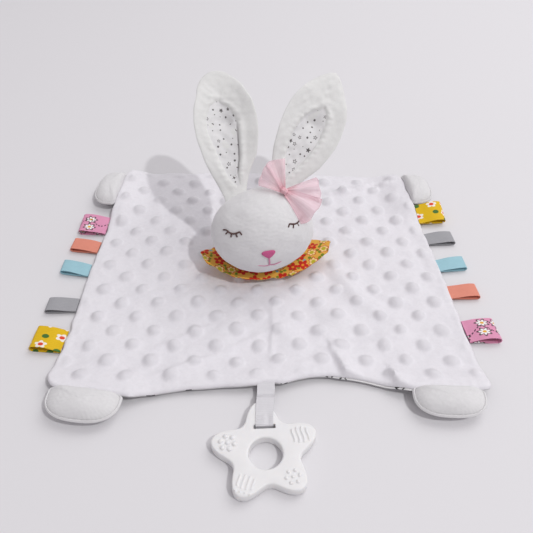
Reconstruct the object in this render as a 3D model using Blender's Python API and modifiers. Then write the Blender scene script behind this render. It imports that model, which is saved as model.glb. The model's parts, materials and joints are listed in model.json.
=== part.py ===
# Comfort blanket with a rabbit's head, four stuffed paws, ribbon loops and a teether on a strap.
# Metres, Z up. The origin is under the blanket's middle, on the surface that it lies on.
# X runs to the right and Y to the back, as the rabbit's face is seen.
import math

import bmesh
import bpy
import numpy as np
from mathutils import Matrix, Vector

# Blanket
BLANKET_WIDTH = 0.300
BLANKET_DEPTH = 0.245
BLANKET_COLUMNS, BLANKET_ROWS = 24, 20
TOP_CLOTH = 0.0009
BACK_CLOTH = 0.0006
FRONT_LIFT = 0.0075
SIDE_LIFT = 0.0016
LIFT_REACH = 0.030
SIDE_REACH = 0.014
FOLD_HEIGHT = 0.0028

# Clearances
SEWN_GAP = 0.0003
SWING_GAP = 0.0001
WELD = 0.0000001

# Paws
PAW_DEPTH = 0.029
BACK_PAW_DEPTH = 0.022
PAW_THICKNESS = 0.0165
PAW_CLOTH = 0.0006
PAW_SEAM_FLANGE = 0.0014
PAW_HINGE_FLANGE = 0.003

# Ribbon loops
RIBBON_WALL = 0.0004
PLAIN_RIBBON_WIDTH = 0.0128
PRINTED_RIBBON_WIDTH = 0.0195
RIBBON_REACH = 0.0228
PLAIN_LOOP_GAP = 0.0022
PRINTED_LOOP_GAP = 0.0034

# Strap and teether
STRAP_WIDTH = 0.0118
STRAP_WALL = 0.0005
STRAP_FREE = 0.0105
TEETHER_TIP_RADIUS = 0.035
TEETHER_VALLEY_RADIUS = 0.0225
TEETHER_HOLE_RADIUS = 0.0105
TEETHER_THICKNESS = 0.0066
TEETHER_EDGE = 0.0016
STRAP_TURN = math.radians(2.5)
TEETHER_TURN = math.radians(4.5)
SLOT_RADIUS = 0.0182
SLOT_WIDTH = 0.0138
SLOT_OPENING = 0.0027

# Head
HEAD_HALF_WIDTH = 0.039
HEAD_HALF_DEPTH = 0.031
HEAD_HALF_HEIGHT = 0.032
HEAD_CLOTH = 0.0008
HEAD_SEAM_BACK = 0.004
HEAD_PITCH = math.radians(-30)
HEAD_YAW = math.radians(6.5)
HEAD_ROLL = math.radians(-5)
NECK_PLACE = Vector((-0.003, -0.004, 0))
HEAD_SEGMENTS, FACE_ROWS, NAPE_ROWS = 20, 6, 5

# Neck
NECK_RADIUS = 0.009
NECK_CROWN = 0.0052
NECK_SHOULDER = 0.0029
NECK_PIVOT_RISE = 0.0021
NECK_RIM_RISE = math.radians(17)
THREAD_RADIUS = 0.0006

# Ears
EAR_LENGTH = 0.099
EAR_HALF_WIDTH = 0.0245
EAR_CLOTH = 0.0006
EAR_LOFT = 0.0019
EAR_CUP = 0.009
EAR_SIDE = {"left": -0.0152, "right": 0.0183}
EAR_SET_BACK = {"left": 0.0093, "right": 0.0107}
EAR_LEAN = {"left": math.radians(23.7), "right": math.radians(16.8)}
EAR_SPLAY = {"left": math.radians(1.5), "right": math.radians(36.7)}

# Collar
COLLAR_LEFT = 0.0475
COLLAR_RIGHT = 0.0535
COLLAR_FRONT = 0.0225
COLLAR_BACK = 0.031
COLLAR_BACKSET = 0.003
COLLAR_CLOTH = 0.0005
COLLAR_SIDE_HEIGHT = 0.0205
COLLAR_FRONT_HEIGHT = 0.0105
COLLAR_BACK_HEIGHT = 0.0175
COLLAR_NECK_RADIUS = 0.0165
COLLAR_PETALS = 8
COLLAR_PETAL_REACH = 0.0022
COLLAR_WAVE = 0.0008
COLLAR_SAG = 0.0012

# Bow
BOW_CLOTH = 0.0004
BOW_NECK = 0.0019
BOW_PLEAT = 0.0011
BOW_LEFT_LENGTH = 0.0232
BOW_RIGHT_UPPER = 0.0255
BOW_RIGHT_LOWER = 0.0325
BOW_SIDE = 0.0205
BOW_AHEAD = 0.010
BOW_FACING = (-0.057, -0.962, 0.265)
BOW_LEFT_HEADING, BOW_LEFT_SPREAD = math.radians(116), math.radians(36)
BOW_RIGHT_HEADING, BOW_RIGHT_SPREAD = math.radians(-12), math.radians(31)
KNOT_HALF_WIDTH = 0.0031
KNOT_HALF_DEPTH = 0.0023
KNOT_LENGTH = 0.0046
KNOT_WALL = 0.0008
KNOT_TURN = math.radians(-38)

# Embroidery
STITCH_RISE = 0.0005
STITCH_LINE = 0.0009
EYE_SPREAD_SHARE = 0.5833
EYE_HEIGHT = 0.0062
EYE_WIDTH = 0.0125
LASH_LENGTH = 0.0027
NOSE_WIDTH = 0.0115
NOSE_HEIGHT = 0.0066
NOSE_DROP = 0.0092
MOUTH_DROP = 0.0236
MOUTH_WIDTH = 0.0185
MOUTH_RISE = 0.0015

# Shares of the blanket's width by which each side edge is drawn in, against shares of its depth
LEFT_DRAW_SHARES = ((0, 0.005), (0.2, 0.019), (0.5, 0.029), (0.65, 0.042), (0.75, 0.046), (1, 0.064))
RIGHT_DRAW_SHARES = ((0, 0), (0.35, 0.034), (0.6, 0.052), (0.75, 0.065), (1, 0.082))
# Shares of the depth by which the front edge stands out and the back edge is drawn in, against shares
# of the width
FRONT_REACH_SHARES = (
    (0, 0), (5 / 24, 0.024), (8 / 24, -0.002), (10 / 24, -0.0125), (13 / 24, -0.0125),
    (16 / 24, -0.033), (17.5 / 24, -0.005), (19 / 24, 0.026), (1, 0.012),
)
BACK_DRAW_SHARES = ((0, 0.026), (0.15, 0.014), (0.4, 0.014), (0.6, 0.02), (0.85, 0.036), (1, 0.056))
FRONT_LIFT_SHARES = (
    (0, 0.3), (4 / 24, 0.4), (7 / 24, 0.55), (11 / 24, 0.8), (13 / 24, 0.8),
    (16 / 24, 1), (18 / 24, 0.9), (20 / 24, 0.6), (1, 0.3),
)
FRONT_SHARE = 0.486
FOLD_ANGLES = tuple(math.radians(angle) for angle in (-58, -22, 14, 44))
FOLD_SPREAD = math.radians(8)
FOLD_START_SHARE, FOLD_END_SHARE = 0.36, 0.86
# Where each paw is sewn to the blanket's edge: its two ends, in shares of the width and the depth
PAW_CHORD_SHARES = {
    "front_left": ((0.02, 0), (0.186, 0)),
    "front_right": ((0.813, 0), (0.972, 0)),
    "back_left": ((0, 0.975), (0, 0.785)),
    "back_right": ((1, 0.815), (1, 0.99)),
}
# The strap's place along the front edge
STRAP_SHARES = (0.468, 0.508)
# The ear's half width along its length
EAR_WIDTH_SHARES = (
    (0, 0.37), (0.12, 0.53), (0.28, 0.82), (0.45, 0.97), (0.58, 1), (0.72, 0.93),
    (0.85, 0.72), (0.94, 0.46), (1, 0.2),
)
EAR_ROW_SHARES = (0, 0.1, 0.22, 0.36, 0.5, 0.64, 0.78, 0.9, 1)
EAR_COLUMN_SHARES = (-1, -0.8, -0.5, 0, 0.5, 0.8, 1)
# Ribbon loops from back to front: name, look, share of the side's depth, printed or not, lean
LEFT_RIBBONS = (
    ("tag_left_1_pink_print", "pink ribbon", 0.675, True, math.radians(2)),
    ("tag_left_2_coral", "coral ribbon", 0.561, False, math.radians(4)),
    ("tag_left_3_blue", "blue ribbon", 0.446, False, math.radians(9)),
    ("tag_left_4_grey", "grey ribbon", 0.303, False, math.radians(-3)),
    ("tag_left_5_yellow_print", "yellow ribbon", 0.16, True, math.radians(3)),
)
RIGHT_RIBBONS = (
    ("tag_right_1_yellow_print", "yellow ribbon", 0.748, True, math.radians(-2)),
    ("tag_right_2_grey", "grey ribbon", 0.627, False, math.radians(2)),
    ("tag_right_3_blue", "blue ribbon", 0.491, False, math.radians(-3)),
    ("tag_right_4_coral", "coral ribbon", 0.364, False, math.radians(2)),
    ("tag_right_5_pink_print", "pink ribbon", 0.197, True, math.radians(4)),
)

# Colour, roughness
LOOKS = {
    "minky": ((0.74, 0.72, 0.78), 0.95),
    "star cotton": ((0.78, 0.78, 0.78), 0.9),
    "velboa": ((0.78, 0.78, 0.76), 0.95),
    "fibre filling": ((0.85, 0.85, 0.85), 1),
    "pink ribbon": ((0.76, 0.30, 0.55), 0.55),
    "coral ribbon": ((0.84, 0.27, 0.18), 0.55),
    "blue ribbon": ((0.38, 0.63, 0.72), 0.55),
    "grey ribbon": ((0.35, 0.35, 0.37), 0.55),
    "yellow ribbon": ((0.77, 0.51, 0.01), 0.55),
    "white satin": ((0.73, 0.72, 0.76), 0.4),
    "silicone": ((0.79, 0.79, 0.79), 0.45),
    "collar print": ((0.83, 0.45, 0.06), 0.85),
    "tulle": ((0.86, 0.51, 0.58), 0.7),
    "neck cotton": ((0.78, 0.78, 0.78), 0.9),
    "brown thread": ((0.07, 0.03, 0.03), 0.6),
    "pink thread": ((0.61, 0.08, 0.31), 0.55),
}


def smooth(value):
    value = min(max(value, 0.0), 1.0)
    return value * value * (3 - 2 * value)


def between(pairs, share):
    return float(np.interp(share, [pair[0] for pair in pairs], [pair[1] for pair in pairs]))


def material(look):
    found = bpy.data.materials.get(look)
    if found:
        return found
    colour, roughness = LOOKS[look]
    made = bpy.data.materials.new(look)
    made.use_nodes = True
    shader = made.node_tree.nodes["Principled BSDF"]
    shader.inputs["Base Color"].default_value = (*colour, 1)
    shader.inputs["Roughness"].default_value = roughness
    shader.inputs["Metallic"].default_value = 0
    return made


def place(name, mesh, look, parent):
    mesh.materials.append(material(look))
    mesh.shade_smooth()
    mesh.set_sharp_from_angle(angle=math.radians(40))
    obj = bpy.data.objects.new(name, mesh)
    parts.objects.link(obj)
    obj.parent = parent
    return obj


def pivot(name, frame, parent=None):
    empty = bpy.data.objects.new(name, None)
    parts.objects.link(empty)
    empty.empty_display_size = NECK_RADIUS
    empty.parent = parent
    empty.matrix_basis = frame
    return empty


def frame_at(place_, x_axis, y_axis, z_axis):
    turned = Matrix((x_axis, y_axis, z_axis)).transposed()
    return Matrix.Translation(place_) @ turned.to_4x4()


def moved_grid(columns, rows, point_of, keep=None):
    # A unit grid whose corners run over (0..1, 0..1), moved to point_of(u, v)
    form = bmesh.new()
    bmesh.ops.create_grid(form, x_segments=columns, y_segments=rows, size=0.5)
    if keep:
        spare = []
        for face in form.faces:
            middle = face.calc_center_median()
            column = int((middle.x + 0.5) * columns)
            row = int((middle.y + 0.5) * rows)
            if not keep(column, row):
                spare.append(face)
        bmesh.ops.delete(form, geom=spare, context="FACES")
    for vertex in form.verts:
        vertex.co = point_of(vertex.co.x + 0.5, vertex.co.y + 0.5)
    bmesh.ops.remove_doubles(form, verts=form.verts, dist=WELD)
    return form


def cloth(name, look, parent, grid, point_of, wall, side=1.0, keep=None):
    # An open surface given its wall on the side that its normals point to, or the other with side=-1
    form = moved_grid(*grid, point_of, keep)
    mesh = bpy.data.meshes.new(name)
    form.to_mesh(mesh)
    form.free()
    obj = place(name, mesh, look, parent)
    solid = obj.modifiers.new("wall", "SOLIDIFY")
    solid.thickness = wall
    solid.offset = side
    return obj


def stuffing(name, look, parent, grid, point_of):
    # A closed form: the grid wraps round in u and meets in a point at each end of v
    form = moved_grid(*grid, point_of)
    bmesh.ops.recalc_face_normals(form, faces=form.faces)
    mesh = bpy.data.meshes.new(name)
    form.to_mesh(mesh)
    form.free()
    return place(name, mesh, look, parent)


def normal_of(point_of, u, v, step=0.001):
    along = point_of(u + step, v) - point_of(u - step, v)
    across = point_of(u, v + step) - point_of(u, v - step)
    return along.cross(across).normalized()


# The blanket

def outline_point(u, v):
    left = (between(LEFT_DRAW_SHARES, v) - 0.5) * BLANKET_WIDTH
    right = (0.5 - between(RIGHT_DRAW_SHARES, v)) * BLANKET_WIDTH
    front = -(FRONT_SHARE + between(FRONT_REACH_SHARES, u)) * BLANKET_DEPTH
    back = (1 - FRONT_SHARE - between(BACK_DRAW_SHARES, u)) * BLANKET_DEPTH
    return Vector((left + (right - left) * u, front + (back - front) * v, 0))


def distance_to_segment(point, start, end):
    along = end - start
    share = min(max((point - start).dot(along) / along.dot(along), 0.0), 1.0)
    return (point - start - along * share).length


def stack_height():
    return BACK_CLOTH + SEWN_GAP + TOP_CLOTH


def cloth_height(u, v):
    # Height of the blanket's underside: up to the paws' seams, the ribbons and along the front
    here = outline_point(u, v)
    lift = 0.0
    for start, end in PAW_CHORD_SHARES.values():
        reach = 1 - distance_to_segment(here, outline_point(*start), outline_point(*end)) / LIFT_REACH
        lift = max(lift, (PAW_THICKNESS / 2 - stack_height() / 2) * smooth(reach))
    front = (here - outline_point(u, 0)).length
    lift = max(lift, FRONT_LIFT * between(FRONT_LIFT_SHARES, u) * smooth(1 - front / LIFT_REACH))
    side = min((here - outline_point(0, v)).length, (here - outline_point(1, v)).length)
    return max(lift, SIDE_LIFT * smooth(1 - side / SIDE_REACH))


def fold_height(u, v):
    # Folds that run out from the neck towards the front edge, in the top cloth alone
    here = outline_point(u, v) - NECK_PLACE
    share = here.length / (FRONT_SHARE * BLANKET_DEPTH)
    inside = (share - FOLD_START_SHARE) / (FOLD_END_SHARE - FOLD_START_SHARE)
    if here.y > 0 or not 0 < inside < 1:
        return 0.0
    bearing = math.atan2(here.x, -here.y)
    swell = sum(math.exp(-(((bearing - angle) / FOLD_SPREAD) ** 2)) for angle in FOLD_ANGLES)
    return FOLD_HEIGHT * min(swell, 1) * math.sin(math.pi * inside) ** 2


def back_point(u, v):
    here = outline_point(u, v)
    here.z = cloth_height(u, v)
    return here


def top_point(u, v):
    here = back_point(u, v)
    here.z += BACK_CLOTH + SEWN_GAP + fold_height(u, v)
    return here


def make_blanket():
    grid = (BLANKET_COLUMNS, BLANKET_ROWS)
    cloth("blanket_back", "star cotton", None, grid, back_point, BACK_CLOTH)
    cloth("blanket_top", "minky", None, grid, top_point, TOP_CLOTH)


def edge_frame(start, end, half_thickness):
    # A frame on the hinge line outside the edge from start to end: X along it, Y outwards, Z up
    first, last = back_point(*start), back_point(*end)
    middle = (first + last) / 2
    along = (last - first).normalized()
    outward = along.cross(Vector((0, 0, 1))).normalized()
    if outward.dot(middle) < 0:
        along, outward = -along, -outward
    up = along.cross(outward)
    if up.z < 0:
        along, up = -along, -up
    middle += up * (stack_height() / 2)
    middle += outward * (math.sqrt(2) * half_thickness + SWING_GAP)
    return frame_at(middle, along, outward, up), (last - first).length


# The paws

def paw_form(chord, depth):
    # Returns the outer upper surface as a function of round the rim (u) and out from the middle (v)
    edge = (2 * PAW_CLOTH + SEWN_GAP) / 2
    half = chord / 2
    broadest, middle = 0.22 * depth, 0.44 * depth
    rise = PAW_THICKNESS / 2 - edge

    def rim(angle):
        # Nearly square at the seam with the blanket, and a deep round bow away from it
        power = 2.45 if math.sin(angle) > 0 else 4.5
        reach = depth - broadest if math.sin(angle) > 0 else (broadest + edge) * 1.1
        across = abs(math.cos(angle)) ** (2 / power) * math.copysign(half, math.cos(angle))
        out = abs(math.sin(angle)) ** (2 / power) * math.copysign(reach, math.sin(angle))
        return Vector((across, max(broadest + out, -edge), 0))

    def surface(u, share, clear=0.0):
        # share 0..1 goes from the middle to the foot of the swell, 1..2 across the seam's flange
        angle = 2 * math.pi * u
        centre = Vector((0, middle, 0))
        spoke = rim(angle) - centre
        inward = max(-math.sin(angle), 0.0) ** 2
        flange = PAW_SEAM_FLANGE + (PAW_HINGE_FLANGE - PAW_SEAM_FLANGE) * inward
        foot = 1 - flange / spoke.length
        if share > 1:
            point = centre + spoke * (foot + (1 - foot) * (share - 1))
            point.z = edge
            return point
        point = centre + spoke * foot * share
        point.z = edge + rise * max(1 - share**2.5, 0.0) ** (0.72 + 0.28 * inward)
        if clear:
            point += normal_of(surface, u, share) * clear if share > 0 else Vector((0, 0, -clear))
        return point

    return surface


def make_paws():
    shares = (0, 0.42, 0.74, 0.93, 1, 2)
    inner_shares = (0, 0.42, 0.74, 0.93)
    rows, segments = len(shares) - 1, 16
    edge = (2 * PAW_CLOTH + SEWN_GAP) / 2
    for corner, (start, end) in PAW_CHORD_SHARES.items():
        frame, chord = edge_frame(start, end, edge)
        holder = pivot(f"paw_{corner}_hinge", frame)
        surface = paw_form(chord, PAW_DEPTH if corner.startswith("front") else BACK_PAW_DEPTH)

        def upper(u, v):
            return surface(u, shares[round(v * rows)])

        def lower(u, v):
            point = surface(1 - u, shares[round(v * rows)])
            point.z = -point.z
            return point

        def inside(u, v):
            row = round(v * (2 * len(inner_shares) - 1))
            above = row < len(inner_shares)
            share = inner_shares[row if above else 2 * len(inner_shares) - 1 - row]
            point = surface(u, share, PAW_CLOTH + SEWN_GAP)
            if not above:
                point.z = -point.z
            return point

        cloth(f"paw_{corner}_top", "velboa", holder, (segments, rows), upper, PAW_CLOTH)
        cloth(f"paw_{corner}_bottom", "velboa", holder, (segments, rows), lower, PAW_CLOTH)
        stuffing(
            f"paw_{corner}_filling", "fibre filling", holder,
            (segments, 2 * len(inner_shares) - 1), inside,
        )


# The ribbon loops and the strap

def loop_path(share, near, far, seam, radius):
    # Out along the lower leg, round a half circle of this radius and back along the upper leg
    turn = far - radius
    if 1 / 3 <= share <= 2 / 3:
        angle = (share * 3 - 1.5) * math.pi
        return turn + radius * math.cos(angle), radius * math.sin(angle)
    lower = share < 1 / 3
    out = share * 3 if lower else (1 - share) * 3
    height = seam + (radius - seam) * smooth(out)
    return near + (turn - near) * out, -height if lower else height


def make_ribbons():
    seam = (SEWN_GAP + RIBBON_WALL) / 2
    edge = SEWN_GAP / 2 + RIBBON_WALL
    for u, ribbons in ((0, LEFT_RIBBONS), (1, RIGHT_RIBBONS)):
        for name, look, share, printed, lean in ribbons:
            width = PRINTED_RIBBON_WIDTH if printed else PLAIN_RIBBON_WIDTH
            radius = ((PRINTED_LOOP_GAP if printed else PLAIN_LOOP_GAP) + RIBBON_WALL) / 2
            half_share = width / BLANKET_DEPTH / 2
            frame, _ = edge_frame((u, share - half_share), (u, share + half_share), edge)
            holder = pivot(f"{name}_hinge", frame)

            def strip(s, t):
                out, up = loop_path(s, -edge, RIBBON_REACH, seam, radius)
                return Vector(((t - 0.5) * width + max(out, 0) * math.tan(lean), out, up))

            cloth(name, look, holder, (12, 2), strip, RIBBON_WALL, side=0)


def make_strap_and_teether():
    seam = (SEWN_GAP + STRAP_WALL) / 2
    edge = SEWN_GAP / 2 + STRAP_WALL
    frame, _ = edge_frame((STRAP_SHARES[0], 0), (STRAP_SHARES[1], 0), edge)
    frame @= Matrix.Translation((0, STRAP_WIDTH / 2 * math.sin(STRAP_TURN), 0))
    frame @= Matrix.Rotation(STRAP_TURN, 4, "Z")
    strap = pivot("strap_hinge", frame)
    # The strap slopes from the front seam down to the teether's middle height
    seam_height = frame.translation.z
    middle_height = SEWN_GAP + STRAP_WALL + SEWN_GAP + TEETHER_THICKNESS / 2
    swing = Matrix.Translation((0, STRAP_FREE, middle_height - seam_height))
    teether = pivot("teether_hinge", swing, strap)
    drop = middle_height - seam_height
    far = STRAP_FREE - edge - (math.sqrt(2) - 1) * edge - SWING_GAP

    def root(s, t):
        # Both layers, closed at the seam and open towards the teether
        out = -edge + 2 * abs(s - 0.5) * (far + edge)
        up = math.copysign(seam, s - 0.5) if abs(s - 0.5) > 0.01 else 0.0
        return Vector(((0.5 - t) * STRAP_WIDTH, out, up + drop * smooth(out / far)))

    cloth("strap_root", "white satin", strap, (14, 2), root, STRAP_WALL, side=0)

    # The loop goes over the arm, down through the slot and back under the arm
    rise = TEETHER_THICKNESS / 2 + SEWN_GAP + STRAP_WALL / 2
    tip = STRAP_FREE + edge * 2
    reach = tip + TEETHER_TIP_RADIUS - SLOT_RADIUS
    gentle = (TEETHER_TIP_RADIUS - SLOT_RADIUS) * 0.2

    def carried(s, t):
        # Heights follow the arm: together at the hinge, apart over the arm, across inside the slot
        legs = 0.42
        if legs < s < 1 - legs:
            share = (s - legs) / (1 - 2 * legs)
            angle = math.pi * (share - 0.5)
            return Vector(((0.5 - t) * STRAP_WIDTH, slot_line, rise * math.sin(angle)))
        lower = s <= legs
        out = (s if lower else 1 - s) / legs
        place_ = -edge + out * (slot_line + edge)
        climb = smooth((place_ + edge) / (arm_start + TEETHER_EDGE * 0.4 + edge))
        up = seam + (rise - seam) * climb
        return Vector(((0.5 - t) * STRAP_WIDTH, place_, -up if lower else up))

    arm_start = tip - STRAP_FREE + gentle
    slot_line = reach - STRAP_FREE + gentle
    cloth("strap_loop", "white satin", teether, (24, 2), carried, STRAP_WALL, side=0)
    star_centre = Vector((0, slot_line + SLOT_RADIUS, 0))
    make_star(teether, star_centre)


def star_outline(count):
    # Five round arms joined by round valleys, as a radius that swings between tip and valley
    points = []
    for index in range(count):
        angle = 2 * math.pi * index / count + TEETHER_TURN
        wave = (1 + math.cos(5 * (angle - TEETHER_TURN))) / 2
        radius = TEETHER_VALLEY_RADIUS + (TEETHER_TIP_RADIUS - TEETHER_VALLEY_RADIUS) * wave**1.15
        points.append(Vector((math.sin(angle) * radius, -math.cos(angle) * radius, 0)))
    return points


def flat_solid(name, points, thickness, edge):
    # A closed outline, extruded to its thickness about z = 0, with rounded rims
    curve = bpy.data.curves.new(name, "CURVE")
    curve.dimensions = "2D"
    curve.fill_mode = "BOTH"
    spline = curve.splines.new("POLY")
    spline.points.add(len(points) - 1)
    for target, point in zip(spline.points, points):
        target.co = (*point, 1)
    spline.use_cyclic_u = True
    curve.extrude = thickness / 2 - edge
    curve.bevel_depth = edge
    curve.bevel_resolution = 1
    curve.offset = -edge
    return curve


def as_mesh(curve, name):
    holder = bpy.data.objects.new(name, curve)
    guides.objects.link(holder)
    graph = bpy.context.evaluated_depsgraph_get()
    mesh = bpy.data.meshes.new_from_object(holder.evaluated_get(graph))
    bpy.data.objects.remove(holder)
    form = bmesh.new()
    form.from_mesh(mesh)
    bmesh.ops.remove_doubles(form, verts=form.verts, dist=SEWN_GAP / 100)
    bmesh.ops.recalc_face_normals(form, faces=form.faces)
    form.to_mesh(mesh)
    form.free()
    return mesh


def cut(obj, cutter_mesh, name, place_):
    cutter = bpy.data.objects.new(name, cutter_mesh)
    guides.objects.link(cutter)
    cutter.parent = obj
    cutter.matrix_basis = place_
    cutter.hide_render = True
    cutter.display_type = "WIRE"
    boolean = obj.modifiers.new(name, "BOOLEAN")
    boolean.operation = "DIFFERENCE"
    boolean.object = cutter


def make_star(parent, centre):
    star = as_mesh(flat_solid("star", star_outline(60), TEETHER_THICKNESS, TEETHER_EDGE), "star")
    obj = place("teether", star, "silicone", parent)
    obj.matrix_basis = Matrix.Translation(centre)
    run = TEETHER_THICKNESS * 2
    hole = bmesh.new()
    bmesh.ops.create_cone(
        hole, cap_ends=True, segments=32, radius1=TEETHER_HOLE_RADIUS, radius2=TEETHER_HOLE_RADIUS,
        depth=run,
    )
    hole_mesh = bpy.data.meshes.new("hole")
    hole.to_mesh(hole_mesh)
    hole.free()
    cut(obj, hole_mesh, "hole", Matrix())
    slot = bmesh.new()
    bmesh.ops.create_cube(slot, size=1, matrix=Matrix.Diagonal((SLOT_WIDTH, SLOT_OPENING, run, 1)))
    slot_mesh = bpy.data.meshes.new("slot")
    slot.to_mesh(slot_mesh)
    slot.free()
    cut(obj, slot_mesh, "slot", Matrix.Translation((0, -SLOT_RADIUS, 0)))


# The neck and the head

def neck_frame():
    lift = stack_height() + SEWN_GAP + NECK_PIVOT_RISE
    return Matrix.Translation(NECK_PLACE + Vector((0, 0, lift))) @ Matrix.Rotation(HEAD_YAW, 4, "Z")


def head_rise():
    # From the neck's pivot to the head's middle, so that the head rests on the neck's crown
    turned = (Matrix.Rotation(HEAD_PITCH, 3, "X") @ Matrix.Rotation(HEAD_ROLL, 3, "Y")).transposed()
    down = turned @ Vector((0, 0, -1))
    sizes = (HEAD_HALF_WIDTH, HEAD_HALF_DEPTH, HEAD_HALF_HEIGHT)
    reach = 1 / math.sqrt(sum((part / size) ** 2 for part, size in zip(down, sizes)))
    return NECK_CROWN + SEWN_GAP + reach


def make_neck(holder):
    low = -NECK_PIVOT_RISE
    rim_low = low + NECK_RADIUS * math.tan(NECK_RIM_RISE)
    shoulder = NECK_RADIUS * 0.62
    profile = (
        (0, NECK_CROWN), (NECK_CROWN * 0.5, NECK_CROWN * 0.84), (shoulder, NECK_SHOULDER * 1.12),
        (NECK_RADIUS, NECK_SHOULDER * 0.6), (NECK_RADIUS, rim_low), (0, low),
    )
    mesh = bpy.data.meshes.new("neck")
    edges = [(index, index + 1) for index in range(len(profile) - 1)]
    mesh.from_pydata([(radius, 0, height) for radius, height in profile], edges, [])
    obj = place("neck", mesh, "neck cotton", holder)
    turned = obj.modifiers.new("turned", "SCREW")
    turned.steps = turned.render_steps = 20
    turned.use_merge_vertices = True
    turned.merge_threshold = SEWN_GAP / 10

    def ring(u, v):
        around, about = 2 * math.pi * u, 2 * math.pi * v
        radius = NECK_RADIUS + 3 * THREAD_RADIUS + THREAD_RADIUS * math.cos(about)
        height = -NECK_PIVOT_RISE + THREAD_RADIUS * (1 + math.sin(about))
        return Vector((radius * math.cos(around), radius * math.sin(around), height))

    stuffing("neck_thread", "neck cotton", holder, (20, 6), ring)


def head_surface(angle, bearing, clear=0.0):
    # angle from the middle of the face to the nape, bearing round that axis
    return Vector((
        (HEAD_HALF_WIDTH + clear) * math.sin(angle) * math.cos(bearing),
        -(HEAD_HALF_DEPTH + clear) * math.cos(angle),
        (HEAD_HALF_HEIGHT + clear) * math.sin(angle) * math.sin(bearing),
    ))


def seam_angle():
    return math.pi / 2 + math.asin(HEAD_SEAM_BACK / HEAD_HALF_DEPTH)


def make_head(holder):
    seam = seam_angle()
    slit = SEWN_GAP / 2 / HEAD_HALF_DEPTH

    def face(u, v):
        return head_surface((seam - slit) * v, 2 * math.pi * u)

    def nape(u, v):
        return head_surface(seam + slit + (math.pi - seam - slit) * v, 2 * math.pi * u)

    def core(u, v):
        row = v * (FACE_ROWS + NAPE_ROWS)
        angle = seam * row / FACE_ROWS
        if row > FACE_ROWS:
            angle = seam + (math.pi - seam) * (row - FACE_ROWS) / NAPE_ROWS
        return head_surface(angle, 2 * math.pi * u, -HEAD_CLOTH - SEWN_GAP)

    cloth("head_front", "velboa", holder, (HEAD_SEGMENTS, FACE_ROWS), face, HEAD_CLOTH)
    cloth("head_back", "velboa", holder, (HEAD_SEGMENTS, NAPE_ROWS), nape, HEAD_CLOTH)
    stuffing("head_filling", "fibre filling", holder, (HEAD_SEGMENTS, FACE_ROWS + NAPE_ROWS), core)


def on_face(x, z, proud=0.0):
    # The point of the face over (x, z) in the head's own frame, standing proud of the cloth
    half_width, half_depth, half_height = HEAD_HALF_WIDTH, HEAD_HALF_DEPTH, HEAD_HALF_HEIGHT
    y = -half_depth * math.sqrt(max(1 - (x / half_width) ** 2 - (z / half_height) ** 2, 0.0))
    normal = Vector((x / half_width**2, y / half_depth**2, z / half_height**2)).normalized()
    return Vector((x, y, z)) + normal * proud


def make_face(holder):
    proud = SEWN_GAP

    def lid_place(u):
        # The closed lid sags between its ends, and its outer end is the higher
        across = u - 0.5
        height = EYE_HEIGHT + LASH_LENGTH * (1.6 * across * across + 0.5 * max(across, 0) - 0.1)
        return EYE_SPREAD_SHARE * HEAD_HALF_WIDTH + across * EYE_WIDTH, height

    for side, sign in (("left", -1), ("right", 1)):
        def lid(u, v):
            x, z = lid_place(u)
            lash = smooth(v * 2 - 1) if v > 0.5 else 0.0
            spread = (u - 0.5) * 1.3
            x += LASH_LENGTH * lash * spread
            z -= STITCH_LINE * min(v * 2, 1) + LASH_LENGTH * lash * (1 - abs(spread) * 0.5)
            return on_face(sign * x, z, proud)

        cloth(
            f"eye_{side}", "brown thread", holder, (9, 2), lid, STITCH_RISE,
            side=-sign, keep=lambda column, row: row == 0 or column % 2 == 0,
        )

    def nose(u, v):
        # A rounded triangle, broad at the top
        angle = 2 * math.pi * u
        height = math.sin(angle)
        width = NOSE_WIDTH / 2 * (0.72 + 0.36 * height)
        below = NOSE_DROP + NOSE_HEIGHT / 2 * (1 - height * v)
        return on_face(math.cos(angle) * width * v, -below, proud)

    cloth("nose", "pink thread", holder, (12, 2), nose, STITCH_RISE, side=-1)
    stem_top = -NOSE_DROP - NOSE_HEIGHT - SEWN_GAP

    def mouth(u, v):
        across = (u - 0.5) * MOUTH_WIDTH
        arc = -MOUTH_DROP + MOUTH_RISE * (2 * (u - 0.5)) ** 2
        if v > 0.5:
            across *= 0.75
            return on_face(across, arc + STITCH_LINE + (stem_top - arc - STITCH_LINE) * (v * 2 - 1), proud)
        return on_face(across, arc + STITCH_LINE * v * 2, proud)

    cloth(
        "mouth", "pink thread", holder, (11, 4), mouth, STITCH_RISE,
        keep=lambda column, row: row < 2 or column == 5,
    )


# The ears

def ear_half_thickness(share, across):
    edge = EAR_CLOTH + SEWN_GAP / 2
    swell = (1 - across**4) * (0.1 + 0.9 * smooth(share / 0.28)) * (1 - smooth((share - 0.72) / 0.28))
    return edge + EAR_LOFT * swell


def ear_base_thickness():
    return ear_half_thickness(0, 0)


def ear_places(side):
    # The ear's hinge in the head's frame and its own directions there and further up
    ratio = Vector((EAR_SIDE[side] / HEAD_HALF_WIDTH, EAR_SET_BACK[side] / HEAD_HALF_DEPTH, 0))
    height = HEAD_HALF_HEIGHT * math.sqrt(1 - ratio.length_squared)
    base = Vector((EAR_SIDE[side], EAR_SET_BACK[side], height))
    normal = Vector(part / size**2 for part, size in zip(base, head_sizes())).normalized()
    base += normal * (math.sqrt(2) * ear_base_thickness() + SWING_GAP)
    turn = Matrix.Rotation(EAR_SPLAY[side], 3, "Y") @ Matrix.Rotation(-EAR_LEAN[side], 3, "X")
    along = turn @ Vector((0, 0, 1))
    across = turn @ Vector((1, 0, 0))
    hinge = (across - normal * across.dot(normal)).normalized()
    outward = (along - hinge * along.dot(hinge)).normalized()
    return base, hinge, outward, along, across


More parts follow.
